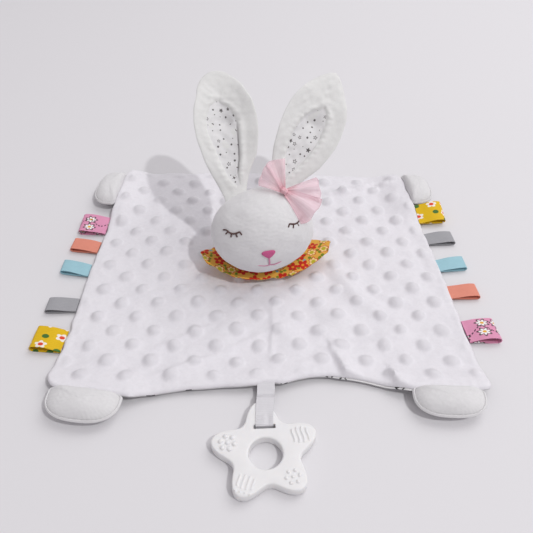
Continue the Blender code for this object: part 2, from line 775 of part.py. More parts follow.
def make_ear(side, head_holder):
    base, hinge, outward, along, across = ear_places(side)
    frame = frame_at(base, hinge, outward.cross(hinge), outward)
    holder = pivot(f"ear_{side}_hinge", frame, head_holder)
    turned = frame.to_3x3().transposed()
    along, across = turned @ along, turned @ across
    edge = ear_base_thickness()
    rows, columns = len(EAR_ROW_SHARES) - 1, len(EAR_COLUMN_SHARES) - 1

    def middle_point(share, wide):
        # Across the ear the direction turns from the hinge's own to the ear's, and the rims cup forward
        turn = smooth(share / 0.35)
        sideways = (Vector((1, 0, 0)) * (1 - turn) + across * turn).normalized()
        forward = sideways.cross(along).normalized()
        half = EAR_HALF_WIDTH * between(EAR_WIDTH_SHARES, share)
        cup = EAR_CUP * wide * wide * smooth(share / 0.5) * (1 - 0.6 * smooth((share - 0.7) / 0.3))
        return along * (share * EAR_LENGTH - edge) + sideways * (half * wide) + forward * cup

    def layer(share, wide, depth):
        # depth is how far in from the ear's surface, on its front when positive
        step = 0.01
        ahead = middle_point(min(share + step, 1), wide) - middle_point(max(share - step, 0), wide)
        aside = middle_point(share, wide + step) - middle_point(share, wide - step)
        front = aside.cross(ahead).normalized()
        thickness = ear_half_thickness(share, wide)
        return middle_point(share, wide) + front * math.copysign(thickness - abs(depth), depth)

    def wide_of(share, v):
        # The lines either side of the lining draw together towards the ear's tip
        wide = EAR_COLUMN_SHARES[round(v * columns)]
        line = 0.5
        drawn = line * (1 - 0.5 * smooth((share - 0.5) / 0.35))
        if abs(wide) <= line:
            return wide * drawn / line
        return math.copysign(drawn + (abs(wide) - line) / (1 - line) * (1 - drawn), wide)

    def slit(row, column, grows):
        # Moves the points on the line between lining and border apart by half the sewn gap each
        share = EAR_ROW_SHARES[row]
        wide = wide_of(share, column / columns)
        half = EAR_HALF_WIDTH * between(EAR_WIDTH_SHARES, share)
        inside = 1 <= row <= rows - 2 and 2 <= column <= columns - 2
        if inside and column in (2, columns - 2):
            wide += grows * math.copysign(SEWN_GAP / 2 / half, wide)
        if inside and row in (1, rows - 2):
            share += grows * math.copysign(SEWN_GAP / 2 / EAR_LENGTH, row - 2)
        return share, wide

    def front_point(grows):
        def point(u, v):
            share, wide = slit(round(v * rows), round(u * columns), grows)
            return layer(share, wide, WELD)
        return point

    def back(u, v):
        share = EAR_ROW_SHARES[round(v * rows)]
        return layer(share, wide_of(share, u), -WELD)

    def is_lining(column, row):
        return 1 <= row < rows - 2 and 2 <= column < columns - 2

    grid = (columns, rows)
    cloth(f"ear_{side}_back", "velboa", holder, grid, back, EAR_CLOTH, side=1)
    cloth(
        f"ear_{side}_border", "velboa", holder, grid, front_point(1), EAR_CLOTH, side=-1,
        keep=lambda column, row: not is_lining(column, row),
    )
    cloth(
        f"ear_{side}_lining", "star cotton", holder, grid, front_point(-1), EAR_CLOTH, side=-1,
        keep=is_lining,
    )
    inset = EAR_CLOTH + SEWN_GAP * 1.7
    first, last = 1, rows - 2
    broad = columns - 2

    def wad(u, v):
        # Round the wadding's section in u and up the ear in v, closed to a point at both ends
        step = round(v * (last - first + 2))
        row = min(max(step - 1 + first, first), last)
        share = EAR_ROW_SHARES[row]
        if step in (0, last - first + 2):
            return middle_point(share, 0)
        around = round(u * 2 * (broad + 1)) % (2 * (broad + 1))
        front = around <= broad
        column = 1 + (around if front else 2 * broad + 1 - around)
        wide = wide_of(share, column / columns) * 0.95
        return layer(share, wide, inset if front else -inset)

    stuffing(f"ear_{side}_wadding", "fibre filling", holder, (2 * (broad + 1), last - first + 2), wad)


# The collar

def head_sizes(clearance=0.0):
    return (HEAD_HALF_WIDTH + clearance, HEAD_HALF_DEPTH + clearance, HEAD_HALF_HEIGHT + clearance)


def clear_of_head(point, clearance):
    # Moves a point of the head's frame out of the head's space, along the line from its middle
    share = math.sqrt(sum((part / size) ** 2 for part, size in zip(point, head_sizes(clearance))))
    return point if share >= 1 else point / share


def collar_wave(u):
    # 1 at the tip of each petal and -1 in the notch between two
    return 1 - 4 * abs((u * COLLAR_PETALS) % 1 - 0.5)


def seated_on_head(point):
    # The point of the head's cloth on the line from its middle, a sewn gap off it
    return point / math.sqrt(sum((part / size) ** 2 for part, size in zip(point, head_sizes(SEWN_GAP))))


def collar_rim(u):
    # The petals' rim is high at the sides and low in front
    angle = 2 * math.pi * u
    side, deep = math.cos(angle), math.sin(angle)
    petal = COLLAR_PETAL_REACH * collar_wave(u)
    half_width = (COLLAR_RIGHT if side > 0 else COLLAR_LEFT) + petal * 0.4
    depth = (COLLAR_BACK if deep > 0 else COLLAR_FRONT) + petal * 0.6
    end_height = COLLAR_BACK_HEIGHT if deep > 0 else COLLAR_FRONT_HEIGHT
    height = COLLAR_SIDE_HEIGHT + (end_height - COLLAR_SIDE_HEIGHT) * deep * deep
    height += COLLAR_WAVE * collar_wave(u) - stack_height() - SEWN_GAP - NECK_PIVOT_RISE
    return Vector((half_width * side, depth * deep + COLLAR_BACKSET * (1 - abs(deep)), height))


def collar_seam(u):
    angle = 2 * math.pi * u
    return Vector((COLLAR_NECK_RADIUS * math.cos(angle), COLLAR_NECK_RADIUS * math.sin(angle), 0))


def make_collar(holder, head_frame_):
    back_to_head = head_frame_.inverted()

    def upper(u, v):
        # v goes from the neck seam under the head to the petals' rim, sagging a little at the sides
        seam = seated_on_head(back_to_head @ collar_seam(u))
        rim = collar_rim(u)
        point = seam.lerp(back_to_head @ rim, v)
        point.z -= COLLAR_SAG * math.sin(math.pi * v) * math.cos(2 * math.pi * u) ** 2
        return head_frame_ @ clear_of_head(point, SEWN_GAP)

    def under(u, v):
        step_in = min(max(v, 0.01), 0.99)
        return upper(u, v) + normal_of(upper, u, step_in) * (COLLAR_CLOTH + SEWN_GAP)

    grid = (COLLAR_PETALS * 4, 4)
    cloth("collar_top", "collar print", holder, grid, upper, COLLAR_CLOTH)
    cloth("collar_lining", "collar print", holder, grid, under, COLLAR_CLOTH)


# The bow

def turned(angle):
    return Vector((math.cos(angle), math.sin(angle)))


def make_bow(holder):
    # The bow lies in a plane that leans back as the ears do, tied at the foot of the right ear
    facing = Vector(BOW_FACING).normalized()
    aside = Vector((0, 0, 1)).cross(facing)
    aside = -aside.normalized() if aside.x < 0 else aside.normalized()
    upward = facing.cross(aside)
    if upward.z < 0:
        upward = -upward
    knot = Vector((BOW_SIDE, -BOW_AHEAD, HEAD_HALF_HEIGHT / 2))
    across, axis = turned(KNOT_TURN + math.pi / 2), turned(KNOT_TURN)
    straight = KNOT_LENGTH / 2 + SEWN_GAP * 2
    columns, pleats = 12, 8

    def band(u, v, wall=0.0):
        around = 2 * math.pi * u
        place_ = across * (KNOT_HALF_WIDTH + wall) * math.cos(around) + axis * KNOT_LENGTH * (v - 0.5)
        point = knot + aside * place_.x + upward * place_.y
        return point + facing * (KNOT_HALF_DEPTH + wall) * math.sin(around)

    def buried():
        rims = [band(step / 16, end, KNOT_WALL / 2) for step in range(16) for end in (0, 1)]
        return any(clear_of_head(point, SEWN_GAP) != point for point in rims)

    while buried():
        knot.z += SWING_GAP

    def flat(u, v):
        # Fans out on both sides of the knot, in pleats that start within it
        right = u > 0.5
        steps = abs(round(u * columns) - columns // 2)
        out = axis if right else -axis
        spread = BOW_RIGHT_SPREAD if right else -BOW_LEFT_SPREAD
        heading = (BOW_RIGHT_HEADING if right else BOW_LEFT_HEADING) + spread * (1 - 2 * v)
        upper_length = BOW_RIGHT_UPPER if right else BOW_LEFT_LENGTH
        lower_length = BOW_RIGHT_LOWER if right else BOW_LEFT_LENGTH
        length = upper_length + (lower_length - upper_length) * v
        fanned = max(steps - 1, 0) / (columns // 2 - 1)
        place_ = across * BOW_NECK * (1 - 2 * v) + out * straight * min(steps, 1)
        place_ += turned(heading) * (length - straight) * fanned
        sway = -1 if round(v * pleats) % 2 else 1
        depth = sway * BOW_PLEAT * (0.15 + 0.85 * fanned) + BOW_PLEAT * 2 * math.sin(math.pi * fanned)
        return place_, depth

    def bow_point(u, v):
        place_, depth = flat(u, v)
        point = knot + aside * place_.x + upward * place_.y + facing * depth
        while clear_of_head(point, SEWN_GAP + BOW_CLOTH) != point:
            point += facing * SEWN_GAP
        return point

    cloth("bow", "tulle", holder, (columns, pleats), bow_point, BOW_CLOTH, side=0)

    cloth("bow_knot", "tulle", holder, (16, 2), band, KNOT_WALL, side=0)


for old in list(bpy.data.objects):
    bpy.data.objects.remove(old)
parts = bpy.data.collections.new("comfort_blanket")
bpy.context.scene.collection.children.link(parts)
guides = bpy.data.collections.new("guides")
bpy.context.scene.collection.children.link(guides)

make_blanket()
make_paws()
make_ribbons()
make_strap_and_teether()
neck = pivot("neck_pivot", neck_frame())
make_neck(neck)
head_turn = Matrix.Rotation(HEAD_PITCH, 4, "X") @ Matrix.Rotation(HEAD_ROLL, 4, "Y")
head = pivot("head_frame", Matrix.Translation((0, 0, head_rise())) @ head_turn, neck)
make_head(head)
make_face(head)
make_ear("left", head)
make_ear("right", head)
make_collar(neck, head.matrix_basis)
make_bow(head)
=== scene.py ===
import json
import math

import bmesh
import bpy
import numpy as np
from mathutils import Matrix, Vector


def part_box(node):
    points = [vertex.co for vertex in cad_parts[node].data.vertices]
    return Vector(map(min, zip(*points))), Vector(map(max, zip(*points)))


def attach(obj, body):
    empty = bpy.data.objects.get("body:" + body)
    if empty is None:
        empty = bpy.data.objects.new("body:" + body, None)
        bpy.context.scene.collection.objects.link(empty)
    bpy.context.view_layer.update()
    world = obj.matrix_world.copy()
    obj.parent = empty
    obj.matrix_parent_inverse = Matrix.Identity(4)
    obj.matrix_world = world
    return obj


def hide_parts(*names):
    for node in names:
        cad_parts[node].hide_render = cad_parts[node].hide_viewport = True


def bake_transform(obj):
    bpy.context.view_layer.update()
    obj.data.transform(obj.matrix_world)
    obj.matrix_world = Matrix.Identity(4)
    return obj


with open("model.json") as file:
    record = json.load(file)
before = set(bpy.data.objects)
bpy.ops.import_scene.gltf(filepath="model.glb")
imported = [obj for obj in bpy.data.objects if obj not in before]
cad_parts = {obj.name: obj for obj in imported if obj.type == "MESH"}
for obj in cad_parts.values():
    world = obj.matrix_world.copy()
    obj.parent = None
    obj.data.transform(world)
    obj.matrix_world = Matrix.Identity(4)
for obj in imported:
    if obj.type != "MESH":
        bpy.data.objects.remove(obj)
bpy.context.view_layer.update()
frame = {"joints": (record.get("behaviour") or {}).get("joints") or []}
jointOf = {joint["name"]: joint for joint in frame["joints"]}


# Small sums that every piece uses

def smoothStep(value):
    # 3t^2 - 2t^3, with t held between 0 and 1
    value = np.clip(value, 0.0, 1.0)
    return value * value * (3 - 2 * value)


def bell(value):
    # e to the power of minus the square
    return np.exp(-(value**2))


def stacked(*parts):
    # coordinates side by side, with single numbers spread over the others' grid
    return np.stack(np.broadcast_arrays(*parts), -1)


def tableCurve(pairs, share, soften=0.0):
    # straight lines between the pairs, averaged over the share plus or minus soften
    places, values = np.array(pairs, float).T
    steps = np.linspace(-soften, soften, 7) if soften else np.zeros(1)
    return np.mean([np.interp(share + step, places, values) for step in steps], axis=0)


def unit(vectors):
    # each vector divided by its length
    return vectors / np.maximum(np.linalg.norm(vectors, axis=-1, keepdims=True), 1e-12)


def softNoise(points, size, seed, waves=16):
    # the sum of sine waves with random headings and lengths near size, scaled to about -1 to 1
    random = np.random.default_rng(seed)
    headings = unit(random.normal(size=(waves, 3))) * random.uniform(0.7, 1.5, (waves, 1))
    phases = random.uniform(0, 2 * np.pi, waves)
    flat = points.reshape(-1, 3) @ (headings.T * 2 * np.pi / size) + phases
    return (np.sin(flat).sum(-1) / math.sqrt(waves) * 0.8).reshape(points.shape[:-1])


def lumpsOn(points, wave, seed):
    # soft noise of the wave's height and size
    height, size = wave
    return height * softNoise(points, size, seed)


def turnAbout(axis, angle):
    # the matrix that turns column vectors by angle about x, y or z
    c, s = math.cos(angle), math.sin(angle)
    rows = {
        "x": ((1, 0, 0), (0, c, -s), (0, s, c)),
        "y": ((c, 0, s), (0, 1, 0), (-s, 0, c)),
        "z": ((c, -s, 0), (s, c, 0), (0, 0, 1)),
    }
    return np.array(rows[axis], float)


def hingeFrame(name):
    # origin and rows X, Y, Z of a sewn edge's hinge: X along it, Y level and outwards, Z = X x Y
    origin = np.array(jointOf[name]["pos_m"], float)
    along = unit(np.array(jointOf[name]["axis"], float))
    outward = unit(np.array((along[1], -along[0], 0)))
    outward = outward if outward @ origin >= 0 else -outward
    return origin, np.stack([along, outward, np.cross(along, outward)])


def gridNormals(points, closedU=False):
    # the cross product of the steps along the grid's two directions
    alongU = np.gradient(points, axis=0)
    if closedU:
        ring = points[:-1]
        alongU = (np.roll(ring, -1, axis=0) - np.roll(ring, 1, axis=0)) / 2
        alongU = np.concatenate([alongU, alongU[:1]])
    return unit(np.cross(alongU, np.gradient(points, axis=1)))


def gridOf(columns, rows):
    # u and v from 0 to 1 on a grid of that many faces
    return np.meshgrid(np.linspace(0, 1, columns + 1), np.linspace(0, 1, rows + 1), indexing="ij")


# A surface is its points, its faces and the flat place of each point on the cloth

def quadsOf(index):
    # each face takes its four corners from the grid, one step apart
    return np.stack([index[:-1, :-1], index[1:, :-1], index[1:, 1:], index[:-1, 1:]], -1).reshape(-1, 4)


def solidOf(points, flat):
    # a closed form: the grid meets itself round u, and in a point at each end of v
    index = np.arange(points[..., 0].size).reshape(points.shape[:2])
    return points.reshape(-1, 3), quadsOf(index), flat.reshape(-1, 2)


def shellOf(outer, inner, flat, closedU=False):
    # two skins over the same grid, joined round their open edges
    rows, columns = outer.shape[:2]
    count = rows * columns
    index = np.arange(count).reshape(rows, columns)
    sides = [index[0, :], index[:, -1], index[-1, ::-1], index[::-1, 0]]
    sides = sides[1::2] if closedU else sides
    edges = [np.stack([side[:-1], side[1:], side[1:] + count, side[:-1] + count], -1) for side in sides]
    quads = np.concatenate([quadsOf(index), quadsOf(index)[:, ::-1] + count] + edges)
    points = np.concatenate([outer.reshape(-1, 3), inner.reshape(-1, 3)])
    return points, quads, np.concatenate([flat.reshape(-1, 2)] * 2)


def joined(pieces):
    # several surfaces as one, each one's faces counted on from the last
    starts = np.cumsum([0] + [len(piece[0]) for piece in pieces[:-1]])
    points, quads, flats = zip(*pieces)
    quads = [part + start for part, start in zip(quads, starts)]
    return np.concatenate(points), np.concatenate(quads), np.concatenate(flats)


def outwards(points, quads):
    # turns all faces round if the volume that they enclose comes out negative
    a, b, c, d = (points[quads[:, corner]] for corner in range(4))
    volume = np.einsum("ij,ij->", a, np.cross(b, c)) + np.einsum("ij,ij->", a, np.cross(c, d))
    return quads if volume > 0 else quads[:, ::-1]


def smoothShade(mesh, sharp):
    # smooth all over, but for edges sharper than this many degrees
    mesh.shade_smooth()
    mesh.set_sharp_from_angle(angle=math.radians(sharp))


def putObject(name, data):
    # a new object with this data, in the scene's own collection
    obj = bpy.data.objects.new(name, data)
    bpy.context.scene.collection.objects.link(obj)
    return obj


def putMesh(name, surface, weld=False, sharp=50):
    # the surface as an object, with its flat places as UVs
    points, quads, flat = surface
    quads = outwards(points, quads)
    mesh = bpy.data.meshes.new(name)
    mesh.vertices.add(len(points))
    mesh.vertices.foreach_set("co", points.astype(np.float32).ravel())
    mesh.loops.add(quads.size)
    mesh.loops.foreach_set("vertex_index", quads.astype(np.int32).ravel())
    mesh.polygons.add(len(quads))
    mesh.polygons.foreach_set("loop_start", np.arange(0, quads.size, 4, dtype=np.int32))
    mesh.update(calc_edges=True)
    layer = mesh.uv_layers.new(name="flat")
    layer.data.foreach_set("uv", flat[quads.ravel()].astype(np.float32).ravel())
    if weld:
        form = bmesh.new()
        form.from_mesh(mesh)
        bmesh.ops.remove_doubles(form, verts=form.verts, dist=2e-6)
        form.to_mesh(mesh)
        form.free()
    smoothShade(mesh, sharp)
    return putObject(name, mesh)


def dress(obj, material, body, replaced):
    # gives a piece its finish and its place among the bodies
    obj.data.materials.clear()
    obj.data.materials.append(material)
    if body:
        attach(obj, body)
    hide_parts(*replaced)
    return obj


# Shader nodes, and the groups that several materials share

def setInputs(node, inputs):
    # a socket is linked to the input, and any other value is set on it
    for key, value in inputs.items():
        if isinstance(value, bpy.types.NodeSocket):
            node.id_data.links.new(value, node.inputs[key])
        else:
            node.inputs[key].default_value = value
    return node.outputs


def addNode(tree, kind, inputs, **settings):
    # a new shader node, given back as its outputs
    node = tree.nodes.new("ShaderNode" + kind)
    for key, value in settings.items():
        setattr(node, key, value)
    return setInputs(node, inputs)


def mathsIn(tree):
    # a function that adds one Math node to this tree and gives its result
    def add(operation, a, b=0.0, c=0.0, clamp=False):
        return addNode(tree, "Math", {0: a, 1: b, 2: c}, operation=operation, use_clamp=clamp)[0]

    return add


def mixColour(tree, factor, a, b):
    # a where the factor is 0 and b where it is 1
    a, b = ((*value, 1) if isinstance(value, tuple) else value for value in (a, b))
    return addNode(tree, "Mix", {"Factor": factor, 6: a, 7: b}, data_type="RGBA")[2]


def noiseOf(tree, place, scale, detail, **more):
    # noise from 0 to 1, with scale swells to the metre
    return addNode(tree, "TexNoise", {"Vector": place, "Scale": scale, "Detail": detail, **more})[0]


def groupOf(tree, group, *values):
    # a shared group's outputs, its inputs set in their own order
    return addNode(tree, "Group", dict(enumerate(values)), node_tree=group)


def newGroup(name, numbers, results):
    # a group that takes a Vector and these numbers
    group = bpy.data.node_groups.new(name, "ShaderNodeTree")
    group.interface.new_socket("Vector", in_out="INPUT", socket_type="NodeSocketVector")
    for label, value in numbers.items():
        group.interface.new_socket(label, in_out="INPUT", socket_type="NodeSocketFloat").default_value = value
    for label in results:
        group.interface.new_socket(label, in_out="OUTPUT", socket_type="NodeSocketFloat")
    return group, group.nodes.new("NodeGroupInput").outputs, mathsIn(group)


def giveOut(group, *results):
    # links the results to the group's outputs, in their own order
    setInputs(group.nodes.new("NodeGroupOutput"), dict(enumerate(results)))
    return group


def pileGroup():
    # Height: fine fibres on soft tufts. Tone: painted shade, darker between the tufts, and slow random
    # patches of tone
    group, given, maths = newGroup("short pile", {"Fibre": 1900.0, "Tuft": 420.0}, ("Height", "Tone"))
    fibre = noiseOf(group, given[0], given[1], 3.0, Roughness=0.65)
    tuft = noiseOf(group, given[0], given[2], 2.0, Distortion=0.6)
    patch = noiseOf(group, given[0], 55.0, 2.0)
    tone = maths("MULTIPLY_ADD", tuft, 0.6, maths("MULTIPLY", patch, 0.4))
    return giveOut(group, maths("MULTIPLY_ADD", fibre, 0.35, tuft), tone)


def weaveGroup():
    # Height and Tone: crests of two crossing sine waves, one thread over the next, with uneven yarn; the Tone
    # is low in the gaps between the threads, where the materials paint shade
    group, given, maths = newGroup("woven threads", {"Along": 2500.0, "Across": 2500.0}, ("Height", "Tone"))
    split = addNode(group, "SeparateXYZ", {0: given[0]})
    warp, weft = (maths("SINE", maths("MULTIPLY", split[axis], given[axis + 1])) for axis in (0, 1))
    crossing = maths("MULTIPLY_ADD", maths("ADD", warp, weft), 0.25, 0.5)
    uneven = noiseOf(group, given[0], 260.0, 3.0)
    tone = maths("MULTIPLY_ADD", crossing, 0.3, maths("MULTIPLY", uneven, 0.7))
    return giveOut(group, maths("MULTIPLY_ADD", uneven, 0.5, crossing), tone)


def cellGroup():
    # the plane in random cells: place within the cell in polar form, and three random numbers a cell
    results = ("Radius", "Angle", "One", "Two", "Three")
    group, given, maths = newGroup("scattered cells", {"Cells": 180.0, "Scatter": 0.6}, results)
    drawn = {"Vector": given[0], "Scale": given[1], "Randomness": given[2]}
    cell = addNode(group, "TexVoronoi", drawn, voronoi_dimensions="2D")
    away = addNode(group, "VectorMath", {0: given[0], 1: cell["Position"]}, operation="SUBTRACT")[0]
    grown = addNode(group, "VectorMath", {0: away, 3: given[1]}, operation="SCALE")[0]
    x, y, _ = addNode(group, "SeparateXYZ", {0: grown})
    squares = (maths("POWER", maths("ABSOLUTE", part), 2.0) for part in (x, y))
    chance = addNode(group, "SeparateColor", {0: cell["Color"]})
    turned = maths("MULTIPLY_ADD", chance[0], 6.2832, maths("ARCTAN2", y, x))
    return giveOut(group, maths("SQRT", maths("ADD", *squares)), turned, *chance)


def starGroup():
    # Mask: filled stars, open stars and dots of several sizes, one to a cell
    group, given, maths = newGroup("star print", {"Cells": 190.0, "Size": 0.34}, ("Mask",))
    radius, angle, _, two, three = groupOf(group, cells, given[0], given[1], 0.6)
    ray = maths("FRACT", maths("MULTIPLY", angle, 5 / (2 * math.pi)))
    ray = maths("MULTIPLY", maths("ABSOLUTE", maths("SUBTRACT", ray, 0.5)), 2.0)
    star = maths("MULTIPLY_ADD", maths("POWER", ray, 1.5), 0.52, 0.48)
    small = maths("MULTIPLY_ADD", three, 0.30, 0.20)
    large = maths("MULTIPLY", star, maths("MULTIPLY_ADD", three, 0.35, 0.75))
    isDot = maths("GREATER_THAN", two, 0.34)
    reach = addNode(group, "Mix", {0: isDot, 2: large, 3: small}, data_type="FLOAT")[0]
    reach = maths("MULTIPLY", reach, given[2])
    hole = maths("MULTIPLY", reach, 0.55)
    filled, core = (
        maths("MULTIPLY", maths("SUBTRACT", edge, radius), 30.0, clamp=True) for edge in (reach, hole)
    )
    isOpen = maths("LESS_THAN", two, 0.16)
    return giveOut(group, maths("SUBTRACT", filled, maths("MULTIPLY", core, isOpen), clamp=True))


pile, weave, cells = pileGroup(), weaveGroup(), cellGroup()
stars = starGroup()
print("shader groups built")


# Materials

def newMaterial(name, roughness, sheen=0.0, sheenRoughness=0.5, specular=0.3):
    # a material with its tree and its shader, rough and without metal
    material = bpy.data.materials.new(name)
    material.use_nodes = True
    shader = material.node_tree.nodes["Principled BSDF"]
    setInputs(shader, {
        "Roughness": roughness, "Sheen Weight": sheen, "Sheen Roughness": sheenRoughness,
        "Specular IOR Level": specular,
    })
    return material, material.node_tree, shader


def bumpOf(tree, height, strength, distance):
    # the normal of a surface raised by height times distance
    return addNode(tree, "Bump", {"Height": height, "Strength": strength, "Distance": distance})[0]


def objectPlace(tree):
    # the place on the object, in metres
    return addNode(tree, "TexCoord", {})["Object"]


def flatPlace(tree):
    # the place on the cloth laid flat, in metres
    return addNode(tree, "UVMap", {}, uv_map="flat")[0]


def shaded(colour, share):
    # each channel times the share
    return tuple(part * share for part in colour)


def plushMaterial(name, light, dark, bump, tuft, sheen, withPaintedShade=False):
    # painted shade between the tufts and lighter on them, with slow random patches of tone
    material, tree, shader = newMaterial(name, 0.95, sheen, 0.45, 0.1)
    height, tone = groupOf(tree, pile, objectPlace(tree), 1900.0, tuft)
    share = addNode(tree, "MapRange", {"Value": tone, "From Min": 0.36, "From Max": 0.58})[0]
    colour = mixColour(tree, share, dark, light)
    if withPaintedShade:
        # painted shade: towards a darker copy of the dark colour where the cloth's 'shade' attribute falls
        # below 1, as it does on the blanket's dots
        mask = addNode(tree, "Attribute", {}, attribute_name="shade")["Fac"]
        colour = mixColour(tree, mask, shaded(dark, 0.80), colour)
    setInputs(shader, {"Base Color": colour, "Normal": bumpOf(tree, height, bump, 0.0009)})
    return material


# roughness, sheen, its roughness and specular; threads along and across; painted shade of the gaps between
# the threads; bump
weaves = {
    "cotton": {
        "surface": (0.85, 0.1, 0.5, 0.2), "threads": (5200.0, 5200.0), "gaps": 0.9, "bump": (0.25, 0.0003),
    },
    "ribbon": {
        "surface": (0.6, 0.04, 0.4, 0.2), "threads": (9000.0, 4200.0), "gaps": 0.86, "bump": (0.3, 0.00025),
    },
}


def wovenMaterial(name, ground, kind="cotton", printing=None):
    # the ground colour with painted shade in the gaps between the threads and uneven yarn tone, and a print
    # laid over if there is one
    made = weaves[kind]
    material, tree, shader = newMaterial(name, *made["surface"])
    place = flatPlace(tree)
    height, tone = groupOf(tree, weave, place, *made["threads"])
    colour = mixColour(tree, tone, shaded(ground, made["gaps"]), ground)
    if printing:
        colour = printing(tree, place, colour)
    setInputs(shader, {"Base Color": colour, "Normal": bumpOf(tree, height, *made["bump"])})
    return material


def starPrint(ink, cellsPerMetre, size):
    # the star group's mask in ink over the ground
    def printing(tree, place, colour):
        return mixColour(tree, groupOf(tree, stars, place, cellsPerMetre, size)[0], colour, ink)

    return printing


def petalEdge(tree, angle, petals, least, size):
    # the edge of a flower: size at the petals' middles, and least times that at the notches
    maths = mathsIn(tree)
    wave = maths("ABSOLUTE", maths("SINE", maths("MULTIPLY", angle, petals / 2)))
    return maths("MULTIPLY", maths("MULTIPLY_ADD", wave, 1 - least, least), size)


def layersOver(tree, colour, radius, layers):
    # each layer paints its chosen cells where the radius is within its edge
    maths = mathsIn(tree)
    for edge, sharpness, chosen, paint in layers:
        mask = maths("MULTIPLY", maths("SUBTRACT", edge, radius), sharpness, clamp=True)
        colour = mixColour(tree, maths("MULTIPLY", mask, chosen), colour, paint)
    return colour


def yellowPrint(tree, place, colour):
    # flowers with white petals and a red eye, and small green dots between
    maths = mathsIn(tree)
    radius, angle, _, two, _ = groupOf(tree, cells, place, 105.0, 0.45)
    big = maths("GREATER_THAN", two, 0.42)
    return layersOver(tree, colour, radius, (
        (petalEdge(tree, angle, 5, 0.62, 0.37), 26.0, big, (0.86, 0.82, 0.76)),
        (0.17, 26.0, big, (0.72, 0.07, 0.03)),
        (0.22, 26.0, maths("SUBTRACT", 1.0, big), (0.06, 0.16, 0.03)),
    ))


def pinkPrint(tree, place, colour):
    # dark-rimmed daisies, and a fine dashed line that waves along the ribbon
    maths = mathsIn(tree)
    radius, angle, _, _, three = groupOf(tree, cells, place, 95.0, 0.5)
    big = maths("GREATER_THAN", three, 0.3)
    colour = layersOver(tree, colour, radius, (
        (petalEdge(tree, angle, 7, 0.5, 0.31 * 1.34), 26.0, big, (0.10, 0.05, 0.06)),
        (petalEdge(tree, angle, 7, 0.5, 0.31), 26.0, big, (0.88, 0.86, 0.86)),
        (0.12, 26.0, big, (0.75, 0.40, 0.05)),
    ))
    along, across, _ = addNode(tree, "SeparateXYZ", {0: place})
    wave = maths("MULTIPLY_ADD", maths("SINE", maths("MULTIPLY", along, 420.0)), 0.0032, 0.0105)
    line = maths("ABSOLUTE", maths("SUBTRACT", across, wave))
    thin = maths("MULTIPLY", maths("SUBTRACT", 0.0007, line), 4000.0, clamp=True)
    dash = maths("GREATER_THAN", maths("SINE", maths("MULTIPLY", along, 3600.0)), -0.35)
    return mixColour(tree, maths("MULTIPLY", thin, dash), colour, (0.10, 0.04, 0.07))


def floralPrint(tree, place, colour):
    # leaves in green and blue, with red flowers and cream ones over them
    maths = mathsIn(tree)
    radius, angle, _, two, three = groupOf(tree, cells, place, 140.0, 0.6)
    leaf = maths("MULTIPLY", maths("POWER", maths("ABSOLUTE", maths("COSINE", angle)), 1.6), 0.50)
    green = mixColour(tree, maths("GREATER_THAN", three, 0.82), (0.17, 0.24, 0.02), (0.18, 0.42, 0.46))
    colour = layersOver(tree, colour, radius, ((leaf, 14.0, maths("GREATER_THAN", two, 0.15), green),))
    shifted = addNode(tree, "VectorMath", {0: place, 1: (0.0317, 0.0173, 0.0)}, operation="ADD")[0]
    radius, angle, _, two, _ = groupOf(tree, cells, shifted, 92.0, 0.3)
    cream = maths("GREATER_THAN", two, 0.62)
    red = maths("MULTIPLY", maths("LESS_THAN", two, 0.62), maths("GREATER_THAN", two, 0.06))
    return layersOver(tree, colour, radius, (
        (petalEdge(tree, angle, 6, 0.62, 0.46), 20.0, cream, (0.55, 0.03, 0.015)),
        (petalEdge(tree, angle, 6, 0.62, 0.38), 20.0, cream, (0.85, 0.66, 0.30)),
        (0.20, 26.0, cream, (0.50, 0.42, 0.03)),
        (petalEdge(tree, angle, 5, 0.55, 0.52), 20.0, red, (0.56, 0.022, 0.012)),
        (0.14, 26.0, red, (0.80, 0.30, 0.03)),
    ))


def streaksOf(tree, place, stretch):
    # noise drawn out along the cloth
    drawn = addNode(tree, "VectorMath", {0: place, 1: stretch}, operation="MULTIPLY")[0]
    return noiseOf(tree, drawn, 1.0, 2.0)


def satinMaterial():
    # close threads with painted shade in the gaps between them, and long pulls along the strap
    material, tree, shader = newMaterial("white satin", 0.38, 0.1, 0.4, 0.5)
    place = flatPlace(tree)
    height, tone = groupOf(tree, weave, place, 5200.0, 9000.0)
    height = mathsIn(tree)("MULTIPLY_ADD", streaksOf(tree, place, (900.0, 60.0, 1.0)), 0.8, height)
    # painted shade: the darker colour lies in the gaps between the threads
    colour = mixColour(tree, tone, (0.58, 0.57, 0.60), (0.70, 0.69, 0.715))
    setInputs(shader, {"Base Color": colour, "Normal": bumpOf(tree, height, 0.3, 0.0003)})
    return material


def siliconeMaterial():
    # a faint haze of grain, and light that goes a little way in
    material, tree, shader = newMaterial("white silicone", 0.42, 0.0, 0.5, 0.4)
    haze = noiseOf(tree, objectPlace(tree), 220.0, 3.0)
    colour = mixColour(tree, haze, (0.775, 0.77, 0.775), (0.81, 0.805, 0.81))
    setInputs(shader, {
        "Base Color": colour, "Normal": bumpOf(tree, haze, 0.05, 0.0004), "Subsurface Weight": 0.15,
        "Subsurface Radius": (0.004, 0.0035, 0.003), "Subsurface Scale": 1.0,
    })
    return material


def threadMaterial(name, colour, shine):
    # satin stitch: close threads across the line, with a painted highlight in the shine colour on each
    # thread's crest
    material, tree, shader = newMaterial(name, 0.5, 0.2, 0.4, 0.4)
    maths = mathsIn(tree)
    along = addNode(tree, "SeparateXYZ", {0: flatPlace(tree)})[0]
    threads = maths("MULTIPLY_ADD", maths("SINE", maths("MULTIPLY", along, 18000.0)), 0.5, 0.5)
    colour = mixColour(tree, threads, colour, shine)
    setInputs(shader, {"Base Color": colour, "Normal": bumpOf(tree, threads, 0.5, 0.0002)})
    return material


